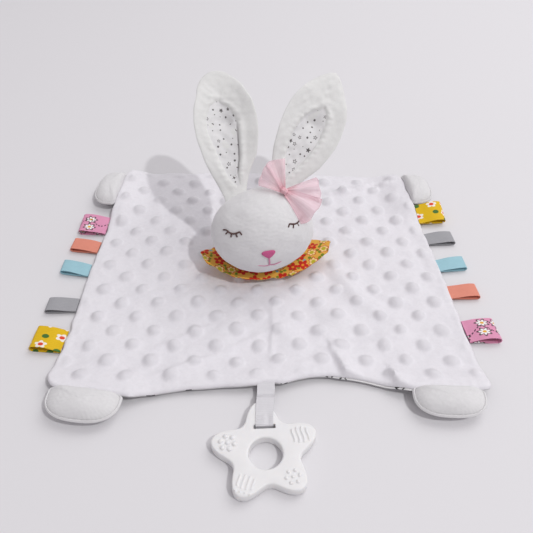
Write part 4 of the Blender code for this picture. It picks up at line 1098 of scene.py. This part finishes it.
def makeHead():
    # an ellipsoid, with the angle from the middle of the face to the nape and the bearing round that axis
    u, v = gridOf(head["around"], head["rows"])
    angle, bearing = np.pi * v, 2 * np.pi * u
    ball = stacked(np.sin(angle) * np.cos(bearing), -np.cos(angle), np.sin(angle) * np.sin(bearing))
    points = ball * head["sizes"]
    deep = head["seamDepth"] + head["stitchDepth"] * np.cos(bearing * head["stitches"])
    seam = bell((angle - head["seam"]) / head["seamWidth"]) * deep
    plump = sum(lumpsOn(points, wave, seed) for seed, wave in enumerate(head["lumps"], 7))
    points = points + headNormal(points) * (head["loft"] + plump - seam)[..., None]
    made = putMesh("headPlush", solidOf(fromHead(points), stacked(u * 0.2, v * 0.1)), weld=True, sharp=80)
    dress(made, finishes["velboa"], "head", ["head_front", "head_back", "head_filling"])
    print("head made")


def makeNeck():
    # a pleated stub whose profile is turned round, and a twisted thread in a ring at its foot
    n = neck
    u, v = gridOf(96, 40)
    around, about = 2 * np.pi * u, 2 * np.pi * v
    wide, crown, shoulder, low = n["radius"], n["crown"], n["shoulder"], -n["rise"]
    profile = np.array((
        (0.0, crown), (crown * 0.5, crown * 0.86), (wide * 0.62, shoulder * 1.12), (wide, shoulder * 0.5),
        (wide * 1.02, low * 0.2), (wide * 0.96, low + 0.0002), (0.0, low),
    ))
    radius, height = (np.interp(v, np.linspace(0, 1, len(profile)), column) for column in profile.T)
    radius = radius + n["pleatDepth"] * np.cos(around * n["pleats"]) * (radius > wide * 0.8)
    flat = stacked(u * 0.057, v * 0.02)
    stub = stacked(radius * np.cos(around), radius * np.sin(around), height)
    made = putMesh("neckPad", solidOf(fromNeck(stub), flat), weld=True)
    dress(made, finishes["neck cotton"], "neck", ["neck"])
    ply = n["thread"] * (1 + n["twistDepth"] * np.cos(around * n["twists"] + about * 2))
    radius = wide + 3 * n["thread"] + ply * np.cos(about)
    ring = stacked(radius * np.cos(around), radius * np.sin(around), low + n["thread"] + ply * np.sin(about))
    made = putMesh("neckThread", solidOf(fromNeck(ring), flat), weld=True)
    dress(made, finishes["neck cotton"], "neck_base", ["neck_thread"])


makeHead()
makeNeck()


# The face's embroidery

face = {
    "rise": 0.0006, "line": 0.0009, "eyeSpread": 0.02275, "eyeHeight": 0.0062, "eyeWidth": 0.0098,
    "lash": 0.0027, "lidHalf": 0.00066, "lashHalf": 0.00056, "mouthHalf": 0.00042, "stemHalf": 0.00062,
    # each lash: its place along the lid, its lean outwards and its length
    "lashes": (
        (-0.46, -0.5, 1.05), (-0.16, -0.25, 1.1), (0.14, 0.3, 1.1), (0.36, 0.85, 1.05), (0.47, 1.6, 0.9),
    ),
    "steps": 44, "noseWidth": 0.0130, "noseHeight": 0.0066, "noseDrop": 0.0092,
    "mouthDrop": 0.0236, "mouthWidth": 0.0185, "mouthRise": 0.0015,
}


def onFace(x, z):
    # the point of the face over x and z in the head's frame
    a, b, c = head["sizes"]
    return stacked(x, -b * np.sqrt(np.maximum(1 - (x / a) ** 2 - (z / c) ** 2, 0)), z)


def stitchLine(x, z, halfWidth, rise):
    # satin stitch along a line on the face: a flat-bottomed arch across it, slimmer at both ends
    count = face["steps"]
    share = np.linspace(0, 1, count + 1)
    x, z = (np.interp(share, np.linspace(0, 1, len(x)), part) for part in (x, z))
    for _ in range(6):
        x[1:-1], z[1:-1] = ((part[:-2] + part[2:] + 2 * part[1:-1]) / 4 for part in (x, z))
    line = onFace(x, z)
    normals = headNormal(line)
    aside = unit(np.cross(normals, unit(np.gradient(line, axis=0))))
    slim = (np.sqrt(np.clip(np.minimum(share, 1 - share) / 0.12, 0, 1)) + 0.00001)[:, None]
    about = np.linspace(0, 2 * np.pi, 15)[None]
    thread = 1 + 0.10 * np.sin(share * count * 1.57)[:, None]
    across = np.cos(about) * halfWidth * slim
    up = np.where(np.sin(about) > 0, 1, 0.35) * np.sin(about) * rise * slim * thread + 0.0002
    points = line[:, None] + aside[:, None] * across[..., None] + normals[:, None] * up[..., None]
    length = np.linalg.norm(np.diff(line, axis=0), axis=1).sum()
    flat = stacked(share[:, None] * length, np.cos(about) * halfWidth)
    return solidOf(np.swapaxes(fromHead(points), 0, 1), np.swapaxes(flat, 0, 1))


def stitched(name, surface, thread, replaced):
    # a piece of embroidery, which moves with the head
    made = putMesh(name, surface, weld=True, sharp=80)
    dress(made, finishes[thread], "head", [replaced])


def makeEyes():
    # each lid's line sinks in the middle and climbs towards the outer corner, with lashes below it
    f = face
    across = np.linspace(-0.5, 0.5, 11)
    x = f["eyeSpread"] + across * f["eyeWidth"]
    climb = np.where(across > 0, 3.4, 1.5) * across**2 * 4
    z = f["eyeHeight"] + f["lash"] * 0.35 * (climb - 0.55)
    for side, sign in (("left", -1), ("right", 1)):
        lines = [stitchLine(sign * x, z, f["lidHalf"], f["rise"])]
        for place, lean, reach in f["lashes"]:
            startX, startZ = np.interp(place, across, x), np.interp(place, across, z)
            endX = startX + f["lash"] * reach * math.sin(lean)
            endZ = startZ - f["lash"] * reach * math.cos(lean)
            ends = (sign * np.array((startX, endX)), np.array((startZ, endZ)))
            lines.append(stitchLine(*ends, f["lashHalf"], f["rise"] * 0.9))
        stitched(f"{side}EyeStitching", joined(lines), "brown", f"eye_{side}")


def makeNose():
    # a rounded patch, broad above with a dip in the middle, domed over the face
    f = face
    u, v = gridOf(64, 16)
    angle = 2 * np.pi * u
    height = np.sin(angle)
    width = f["noseWidth"] / 2 * (0.70 + 0.38 * height)
    dip = 0.10 * bell(np.cos(angle) / 0.35) * (height > 0)
    out = np.minimum(v * 2, 2 - v * 2)
    x = np.cos(angle) * width * out**0.8
    z = -f["noseDrop"] + f["noseHeight"] / 2 * ((height - dip) * out**0.8 - 1)
    over = onFace(x, z)
    puff = np.sqrt(1 - out**3) * np.where(v <= 0.5, 0.0011, -0.0003) + 0.0003
    points = over + headNormal(over) * puff[..., None]
    stitched("noseStitching", solidOf(fromHead(points), stacked(z, x)), "pink", "nose")


def makeMouth():
    # a line that rises to both ends and meets the stem in a small peak
    f = face
    across = np.linspace(-0.5, 0.5, 15)
    middle = f["line"] - f["mouthDrop"]
    z = middle + f["mouthRise"] * 1.3 * (2 * across) ** 2 + 0.0010 * bell(across / 0.07)
    stem = np.linspace(0.0006 - f["noseDrop"] - f["noseHeight"], middle, 3)
    lines = [
        stitchLine(across * f["mouthWidth"], z, f["mouthHalf"], f["rise"] * 0.7),
        stitchLine(np.zeros(3), stem, f["stemHalf"], f["rise"]),
    ]
    stitched("mouthStitching", joined(lines), "rose", "mouth")
    print("face stitched")


makeEyes()
makeNose()
makeMouth()


# The ears

ear = {
    "length": 0.099, "halfWidth": 0.0245, "baseHalf": 0.00094, "cup": 0.009, "swingGap": 0.0001,
    "widths": ((0, 0.37), (0.12, 0.53), (0.28, 0.82), (0.45, 0.97), (0.58, 1), (0.72, 0.93), (0.85, 0.72)),
    "backLoft": 0.0030, "frontLoft": 0.0033, "rollHeight": 0.0007, "cloth": 0.0003,
    "faces": (176, 170), "liningFaces": (70, 130), "lumps": (0.00035, 0.020), "pile": (0.0002, 0.007),
    "pucker": 0.00022, "puckerStep": 0.0052, "creases": (0.00025, 0.014), "liningRise": 0.00055,
    "liningSunk": 0.0003,
}
# where an ear stands, how it leans, and its lining's outline as shares of length and half width
ears = {
    "left": {
        "side": -0.0152, "back": 0.0093, "lean": math.radians(23.7), "splay": math.radians(1.5), "seed": 61,
        "tipFrom": 0.85, "tipPower": 0.5, "tipReach": 0.0034, "tipAside": -0.0028,
        "from": 0.054, "to": 0.768, "fold": 1.0, "flatAside": 0.3,
        "leftEdge": (
            (0.054, 0.2), (0.1, -0.12), (0.138, -0.3), (0.263, -0.45), (0.39, -0.56), (0.515, -0.67),
            (0.624, -0.65), (0.7, -0.56), (0.745, -0.45), (0.768, -0.28),
        ),
        "rightEdge": (
            (0.054, 0.44), (0.138, 0.31), (0.263, 0.35), (0.39, 0.376), (0.515, 0.39), (0.624, 0.367),
            (0.7, 0.22), (0.745, -0.02), (0.768, -0.2),
        ),
        # hollows of the lining: place in length and width, how wide and how deep
        "hollows": ((0.60, 0.02, 0.0052, 0.0044), (0.44, -0.05, 0.009, -0.0006), (0.30, 0.22, 0.006, 0.0008)),
    },
    "right": {
        "side": 0.0183, "back": 0.0107, "lean": math.radians(16.8), "splay": math.radians(36.7), "seed": 67,
        "tipFrom": 0.80, "tipPower": 0.72, "tipReach": 0.0058, "tipAside": 0.0004,
        "from": 0.08, "to": 0.75, "fold": 0.25, "flatAside": 0.7,
        "leftEdge": (
            (0.08, -0.04), (0.15, -0.25), (0.25, -0.44), (0.36, -0.51), (0.47, -0.49), (0.62, -0.35),
            (0.7, -0.12), (0.75, 0.18),
        ),
        "rightEdge": (
            (0.08, 0.03), (0.15, 0.17), (0.25, 0.32), (0.36, 0.42), (0.47, 0.47), (0.62, 0.46), (0.7, 0.38),
            (0.75, 0.18),
        ),
        "hollows": ((0.61, 0.06, 0.0056, 0.0044), (0.42, 0.05, 0.008, -0.0007), (0.50, 0.33, 0.0045, 0.0007)),
    },
}


def earHalfWidth(side, share):
    # the table's curve, and past the tip's start a power curve down to nothing
    e, own = ear, ears[side]
    beyond = np.clip((share - own["tipFrom"]) / (1 - own["tipFrom"]), 0, 1)
    tip = tableCurve(e["widths"], own["tipFrom"], 0.03) * (1 - beyond**1.15) ** own["tipPower"]
    return e["halfWidth"] * np.where(share > own["tipFrom"], tip, tableCurve(e["widths"], share, 0.03))


def earMiddle(side, share, wide):
    # the sheet half way through the ear: it turns from the head's surface to its own lean, with cupped rims
    e, own = ear, ears[side]
    a, b, c = head["sizes"]
    top = c * math.sqrt(1 - (own["side"] / a) ** 2 - (own["back"] / b) ** 2)
    base = np.array((own["side"], own["back"], top))
    normal = headNormal(base)
    base = base + normal * (math.sqrt(2) * e["baseHalf"] + e["swingGap"])
    turn = turnAbout("y", own["splay"]) @ turnAbout("x", -own["lean"])
    along, across = turn[:, 2], turn[:, 0]
    hinge = unit(across - normal * (across @ normal))
    mix = smoothStep(share / 0.35)[..., None]
    sideways = unit(hinge * (1 - mix) + across * mix)
    forward = unit(np.cross(sideways, along))
    # no cup is left where the tip narrows to nothing
    half = earHalfWidth(side, share)
    fade = np.where(share > own["tipFrom"], (half / earHalfWidth(side, own["tipFrom"])) ** 2, 1)
    cup = e["cup"] * wide**2 * smoothStep(share / 0.5) * (1 - 0.6 * smoothStep((share - 0.7) / 0.3)) * fade
    outer = smoothStep((share - 0.76) / 0.24)
    reach = share * e["length"] - e["baseHalf"] + own["tipReach"] * outer
    aside = half * wide + own["tipAside"] * outer
    return base + reach[..., None] * along + sideways * aside[..., None] + forward * cup[..., None]


def liningEdges(side, share):
    # the left and right edges in half widths, by the share of the ear's length
    return (tableCurve(ears[side][edge], share, 0.02) for edge in ("leftEdge", "rightEdge"))


def liningAway(side, share, wide):
    # distances in from the lining's outline: the nearest one, and that from its right side
    own, half = ears[side], earHalfWidth(side, share)
    left, right = liningEdges(side, share)
    left, right = (wide - left) * half, (right - wide) * half
    ends = np.minimum(share - own["from"], own["to"] - share) * ear["length"]
    return np.minimum(np.minimum(left, right), ends), right


def earBulge(share, wide):
    # thickness over the section and towards the tip: round at the rims and at the end
    tip = np.sqrt(np.clip(1 - (np.clip((share - 0.80) / 0.20, 0, 1)) ** 2.6, 0, 1))
    return np.sqrt(np.clip(1 - np.abs(wide) ** 2.4, 0, 1)) * tip


def earFront(side, share, wide):
    # height of the ear's front over its middle sheet: padded border, sunk where the lining lies
    e, own = ear, ears[side]
    away, right = liningAway(side, share, wide)
    sunk = smoothStep((away + 0.0011) / 0.0024)
    roll = e["rollHeight"] * bell((away + 0.0032) / 0.0024)
    # the right-hand border of this ear is turned over the lining and leaves a deep crease
    window = own["fold"] * smoothStep((share - 0.10) / 0.10) * smoothStep((0.60 - share) / 0.10)
    flap = window * (0.0013 * bell((right + 0.0030) / 0.0028) - 0.0022 * bell((right - 0.0005) / 0.0007))
    hollow = 0
    for up, aside, reach, deep in own["hollows"]:
        far = np.hypot((share - up) * e["length"], (wide - aside) * earHalfWidth(side, share))
        hollow = hollow + deep * bell(far / reach)
    return (e["frontLoft"] * (1 - 0.42 * sunk) + roll + flap - hollow) * earBulge(share, wide)


def earNormals(side, share, wide):
    # the cross product of small steps across and along the middle sheet
    step = 0.004
    share = np.clip(share, step, 0.93)
    aside = earMiddle(side, share, wide + step) - earMiddle(side, share, wide - step)
    ahead = earMiddle(side, share + step, wide) - earMiddle(side, share - step, wide)
    return unit(np.cross(aside, ahead))


def earSheet(side, share, wide):
    # what the ear and its lining share: middle sheet, normals, bulge, plumpness and thinning to the base
    seed, onEar = ears[side]["seed"], np.clip(share, 0, 1)
    middle = earMiddle(side, share, wide)
    plump = lumpsOn(middle, ear["lumps"], seed) + lumpsOn(middle, ear["pile"], seed + 1)
    bulge = earBulge(onEar, wide)
    return middle, earNormals(side, share, wide), bulge, plump * bulge, 0.35 + 0.65 * smoothStep(onEar / 0.16)


def makeEar(side):
    # heights over and under the ear's middle sheet, and the lining as a shell on its front
    e, own = ear, ears[side]
    u, v = gridOf(*e["faces"])
    share = -0.018 + 1.018 * (1 - (1 - v) ** 1.5)
    onEar = np.clip(share, 0, 1)
    # once round the section: over the front from the left rim to the right one, and back behind
    wide = -np.cos(2 * np.pi * u)
    wide = wide * (1 + 0.10 * (1 - wide**2))
    front = u <= 0.5
    middle, normals, bulge, plump, thin = earSheet(side, share, wide)
    # the border draws up in small puckers along the seam
    away, _ = liningAway(side, onEar, wide)
    ripple = share * e["length"] * 2 * np.pi / e["puckerStep"] + 2 * softNoise(middle, 0.02, own["seed"] + 2)
    pucker = e["pucker"] * np.sin(ripple) * bell((away + 0.002) / 0.003) * bulge
    height = np.where(front, earFront(side, onEar, wide) + plump + pucker, -e["backLoft"] * bulge - plump)
    points = middle + normals * (height * thin)[..., None]
    body = putMesh(f"{side}Ear", solidOf(fromHead(points), stacked(u * 0.11, v * 0.1)), weld=True, sharp=80)
    replaced = [f"ear_{side}_{part}" for part in ("back", "border", "wadding")]
    dress(body, finishes["earVelboa"], f"ear_{side}", replaced)

    u, v = gridOf(*e["liningFaces"])
    share = own["from"] + (own["to"] - own["from"]) * v
    left, right = liningEdges(side, share)
    wide = left + (right - left) * u
    away, _ = liningAway(side, share, wide)
    middle, normals, bulge, plump, thin = earSheet(side, share, wide)
    lift = earFront(side, share, wide) + plump + e["liningRise"] * smoothStep(away / 0.0009) - e["liningSunk"]
    lift = lift + lumpsOn(middle, e["creases"], own["seed"] + 3) * smoothStep(away / 0.003)
    outer = middle + normals * (lift * thin)[..., None]
    inner = outer - normals * e["cloth"]
    flat = stacked(wide * earHalfWidth(side, share) + own["flatAside"], share * e["length"])
    lining = putMesh(f"{side}EarLining", shellOf(fromHead(outer), fromHead(inner), flat))
    dress(lining, finishes["ear cotton"], f"ear_{side}", [f"ear_{side}_lining"])
    steps = np.linspace(own["from"], own["to"], 60)
    left, right = liningEdges(side, steps)
    print("ear made", side)


makeEar("left")
makeEar("right")


# The collar

collar = {
    "left": 0.0475, "right": 0.0535, "front": 0.0225, "back": 0.031, "backset": 0.003, "cloth": 0.0005,
    "sideHeight": 0.0205, "frontHeight": 0.0105, "backHeight": 0.0175, "neckRadius": 0.0165, "petals": 8,
    "petalReach": 0.0022, "wave": 0.0008, "sag": 0.0012, "gap": 0.0003, "lift": 0.0042,
    "faces": (288, 30), "drawIn": 0.13, "drop": 0.0085, "edge": 0.00022, "rimSunk": 0.00018,
    "ruffle": 0.0005, "ruffleSize": 0.011, "gathers": 24, "corner": 0.0022, "cornerRise": 0.0016,
    "bendFrom": (0.0, 0.001, 0.01), "bendTo": (0.0, 0.024, 0.01),
}


def collarRim(u):
    # eight petals round two half ellipses, pointed at both sides, drawn in and dropped behind
    c = collar
    angle = 2 * np.pi * u
    side, deep = np.cos(angle), np.sin(angle)
    zigzag = 1 - 4 * np.abs(np.mod(u * c["petals"], 1) - 0.5)
    wave = np.sin(zigzag * np.pi / 2) * 0.6 + zigzag * 0.4
    behind = smoothStep(deep / 0.45)
    drawn = 1 - c["drawIn"] * behind
    halfWidth = (np.where(side > 0, c["right"], c["left"]) + c["petalReach"] * wave * 0.4) * drawn
    depth = (np.where(deep > 0, c["back"], c["front"]) + c["petalReach"] * wave * 0.6) * drawn
    corner = c["corner"] * np.exp(-np.abs(np.sin(angle - 0.02)) / 0.10) * np.sign(side)
    endHeight = np.where(deep > 0, c["backHeight"], c["frontHeight"])
    height = c["sideHeight"] + (endHeight - c["sideHeight"]) * deep**2 + c["wave"] * wave - c["lift"]
    height = height - c["drop"] * behind * (1 - 0.3 * behind)
    height = height + c["cornerRise"] * np.exp(-np.abs(deep) / 0.12)
    return stacked(halfWidth * side + corner, depth * deep + c["backset"] * (1 - np.abs(deep)), height)


def makeCollar():
    # straight from a seam on the head to the rim, sagging and ruffled, and kept outside the head
    c = collar
    u, v = gridOf(*c["faces"])
    angle = 2 * np.pi * u
    rise = np.array((0, 0, headRise))
    seam = stacked(c["neckRadius"] * np.cos(angle), c["neckRadius"] * np.sin(angle), 0)
    rim, seam = (collarRim(u) - rise) @ headInNeck, (seam - rise) @ headInNeck
    near = head["sizes"] + c["gap"]
    seam = seam / np.linalg.norm(seam / near, axis=-1, keepdims=True)
    points = seam + (rim - seam) * v[..., None]
    points[..., 2] -= c["sag"] * np.sin(np.pi * v) * np.cos(angle) ** 2
    ruffle = softNoise(rim, c["ruffleSize"], 71) + 0.5 * np.sin(angle * c["gathers"])
    points[..., 2] += c["ruffle"] * smoothStep((v - 0.45) / 0.5) * ruffle
    points = points / np.minimum(np.linalg.norm(points / near, axis=-1, keepdims=True), 1)
    points = rise + points @ headInNeck.T
    normals = gridNormals(points, closedU=True)
    normals = normals * np.sign((normals * unit(points - rise)).sum(-1, keepdims=True))
    # the two cloths meet in a turned edge along the rim
    rimmed = smoothStep((v - 0.90) / 0.10)[..., None]
    plump = c["edge"] * bell((v - 0.955) / 0.03)[..., None]
    parted = c["cloth"] + c["gap"] * (1 - 0.8 * rimmed)
    last = (c["cloth"] * 2 + c["gap"]) * (1 - 0.12 * rimmed) + plump
    flat = points[..., :2] * 1.15 + (1, 1)
    first = c["rimSunk"] * rimmed - plump
    skins = (("Top", first, c["cloth"], flat), ("Lining", parted, last, flat + (0.41, 0)))
    made = []
    for part, above, below, place in skins:
        outer, under = (fromNeck(points + normals * depth) for depth in (above, below))
        cloth = putMesh(f"collar{part}", shellOf(outer, under, place, closedU=True), weld=True)
        dress(cloth, finishes["floral"], None, [f"collar_{part.lower()}"])
        made.append(cloth)
    for cloth in made:
        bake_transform(cloth)


makeCollar()


# The bow

bow = {
    "facing": (-0.057, -0.962, 0.265), "turn": math.radians(-38), "neck": 0.0019, "halfWidth": 0.0027,
    "halfDepth": 0.0039, "length": 0.00529, "forward": 0.0012, "wall": 0.0002, "clear": 0.0009,
    "shift": (-0.0014, -0.0026, -0.0012), "faces": (34, 72), "knotFaces": (72, 24),
    "hemWave": 0.018, "ragged": (0.012, 0.4), "lumps": (0.0007, 0.014), "swell": 0.0022,
    "push": 0.0004, "pushes": 60,
    # each lobe: the headings it fans between, its lengths there, pleats, how deep, and how far forward
    "lobes": (
        (160, 112, 0.0190, 0.0232, 1.5, 0.0010, 0.0006), (116, 80, 0.0240, 0.0240, 1.0, 0.0015, 0.0036),
        (15, -26, 0.0255, 0.0280, 2.0, 0.0010, 0.0010), (-20, -72, 0.0285, 0.0275, 1.5, 0.0013, 0.0034),
    ),
}


def bowFrame():
    # the knot's middle in the head's frame, and rows to the right, up and towards the viewer
    facing = unit(np.array(bow["facing"]))
    aside = unit(np.cross((0, 0, 1.0), facing))
    aside = aside * np.sign(aside[0])
    upward = np.cross(facing, aside)
    lower, upper = (np.array(corner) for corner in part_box("bow_knot"))
    knot = ((lower + upper) / 2 - headOrigin) @ headTurn + bow["shift"]
    return knot, np.stack([aside, upward * np.sign(upward[2]), facing])


def bowLobe(number, knot, axes):
    # a fan of net from the knot, in pleats that deepen outwards, pushed forward until clear of the head
    b = bow
    first, last, firstLength, lastLength, pleats, deep, forward = b["lobes"][number]
    u, v = gridOf(*b["faces"])
    heading = np.radians(first + (last - first) * v)
    ragged = lumpsOn(stacked(v, 0, number), b["ragged"], 81 + number)
    hem = 1 + b["hemWave"] * np.sin(v * np.pi * pleats * 2) + ragged
    far = (firstLength + (lastLength - firstLength) * v) * u * hem
    start = b["neck"] * (1 - 2 * v) * (1 if first > 60 else 0.9) * (1 - u) * (-1 if number < 2 else 1)
    x = far * np.cos(heading) - start * math.sin(b["turn"])
    y = far * np.sin(heading) + start * math.cos(b["turn"])
    swell = np.sin(np.pi * u**0.8)
    fold = deep * np.cos(v * np.pi * 2 * pleats + 0.7 * number) * (0.25 + 0.75 * u)
    uneven = lumpsOn(stacked(x, y, number * 0.1), b["lumps"], 85 + number) * u
    depth = forward * (0.35 + 0.65 * u) * np.maximum(swell, 0) ** 0.5 + fold + b["swell"] * swell + uneven
    points = knot + stacked(x, y, np.maximum(depth, 0.0002)) @ axes
    near = head["sizes"] + b["clear"]
    for _ in range(b["pushes"]):
        inside = np.linalg.norm(points / near, axis=-1) < 1
        points = points + axes[2] * (inside * b["push"])[..., None]
    normals = gridNormals(points) * b["wall"] / 2
    flat = stacked(far, v * math.radians(abs(last - first)) * 0.02 + number * 0.05)
    return shellOf(fromHead(points + normals), fromHead(points - normals), flat)


def makeBow():
    # four fans of net, and a tube for the band round their middle
    b = bow
    knot, axes = bowFrame()
    made = putMesh("bowTulle", joined([bowLobe(number, knot, axes) for number in range(len(b["lobes"]))]))
    dress(made, finishes["tulle"], "head", ["bow"])

    # the band round the middle: a creased tube along the bow, drawn in and closed at both ends
    u, v = gridOf(*b["knotFaces"])
    around = 2 * np.pi * u
    drawn = 1 - 0.16 * np.cos((v - 0.5) * np.pi) + 0.05 * np.cos(around * 7)
    capped = np.sqrt(np.clip(1 - np.abs(2 * v - 1) ** 6, 0, 1)) * drawn
    out, up = b["halfWidth"] * np.cos(around) * capped, b["halfDepth"] * np.sin(around) * capped
    tube = stacked(b["length"] * (v - 0.5), out, up + b["forward"]) @ turnAbout("z", b["turn"]).T
    flat = stacked(u * 0.004, v * 0.0046)
    made = putMesh("bowKnot", solidOf(fromHead(knot + tube @ axes), flat), weld=True, sharp=80)
    dress(made, finishes["tulle"], "head", ["bow_knot"])
    print("bow made")


makeBow()


# The floor, the lamps and the camera

studio = {
    "floor": (0.735, 0.725, 0.745), "floorSide": 8, "floorDeep": 0.02, "world": (0.99, 0.955, 0.985),
    "worldStrength": 0.5, "backdrop": 0.765, "paleFrom": 0.8, "paleTo": 2.4,
    # place, size and power of each lamp
    "lamps": {"key": ((1.17, -0.98, 2.3), 0.08, 22.5), "back": ((1.0, 0.9, 1.9), 1.8, 20.5)},
    "cameraPlace": (0.0, -0.355, 0.3515), "cameraDown": 44.9, "focal": 41.2,
}


def seenRays(tree):
    # 1 for the camera's rays and for those that a glossy or clear surface sends on
    maths = mathsIn(tree)
    path = addNode(tree, "LightPath", {})
    seen = maths("MAXIMUM", path["Is Camera Ray"], path["Is Glossy Ray"])
    return maths("MAXIMUM", seen, path["Is Transmission Ray"])


def makeFloor():
    # paper that far away passes into the pale backdrop
    x, y = (part * studio["floorSide"] for part in gridOf(8, 8))
    points = stacked(x, y, 0) - (studio["floorSide"] / 2, studio["floorSide"] / 2, 0)
    floor = putMesh("floor", shellOf(points, points - (0, 0, studio["floorDeep"]), points[..., :2]))
    material, tree, shader = newMaterial("floor paper", 0.9, specular=0.1)
    grain = noiseOf(tree, objectPlace(tree), 900.0, 2.0)
    setInputs(shader, {"Base Color": mixColour(tree, grain, shaded(studio["floor"], 0.985), studio["floor"])})
    far = addNode(tree, "VectorMath", {0: objectPlace(tree)}, operation="LENGTH")["Value"]
    span = {"Value": far, "From Min": studio["paleFrom"], "From Max": studio["paleTo"]}
    share = mathsIn(tree)("MULTIPLY", addNode(tree, "MapRange", span)[0], seenRays(tree))
    pale = addNode(tree, "Emission", {"Color": (*studio["world"], 1), "Strength": studio["backdrop"]})[0]
    blended = addNode(tree, "MixShader", {0: share, 1: shader.outputs[0], 2: pale})[0]
    setInputs(tree.nodes["Material Output"], {"Surface": blended})
    floor.data.materials.append(material)


def makeStudio():
    # an even pale sky, a small lamp in front, a broad one behind, and the camera
    scene = bpy.context.scene
    scene.world = bpy.data.worlds.new("studio")
    scene.world.use_nodes = True
    sky = scene.world.node_tree
    light, extra = studio["worldStrength"], studio["backdrop"] - studio["worldStrength"]
    strength = mathsIn(sky)("MULTIPLY_ADD", seenRays(sky), extra, light)
    setInputs(sky.nodes["Background"], {"Color": (*studio["world"], 1), "Strength": strength})

    for name, (place, size, power) in studio["lamps"].items():
        lamp = bpy.data.lights.new(name, "AREA")
        lamp.size, lamp.energy = size, power
        obj = putObject(name, lamp)
        obj.location = place
        obj.rotation_euler = (-obj.location).to_track_quat("-Z", "Y").to_euler()

    camera = bpy.data.cameras.new("camera")
    camera.sensor_width, camera.lens, camera.clip_start = 36, studio["focal"], 0.01
    obj = putObject("camera", camera)
    obj.location = studio["cameraPlace"]
    obj.rotation_euler = (math.radians(90 - studio["cameraDown"]), 0, 0)
    scene.camera = obj
    scene.view_settings.view_transform = "Standard"
    print("studio made")


makeFloor()
makeStudio()
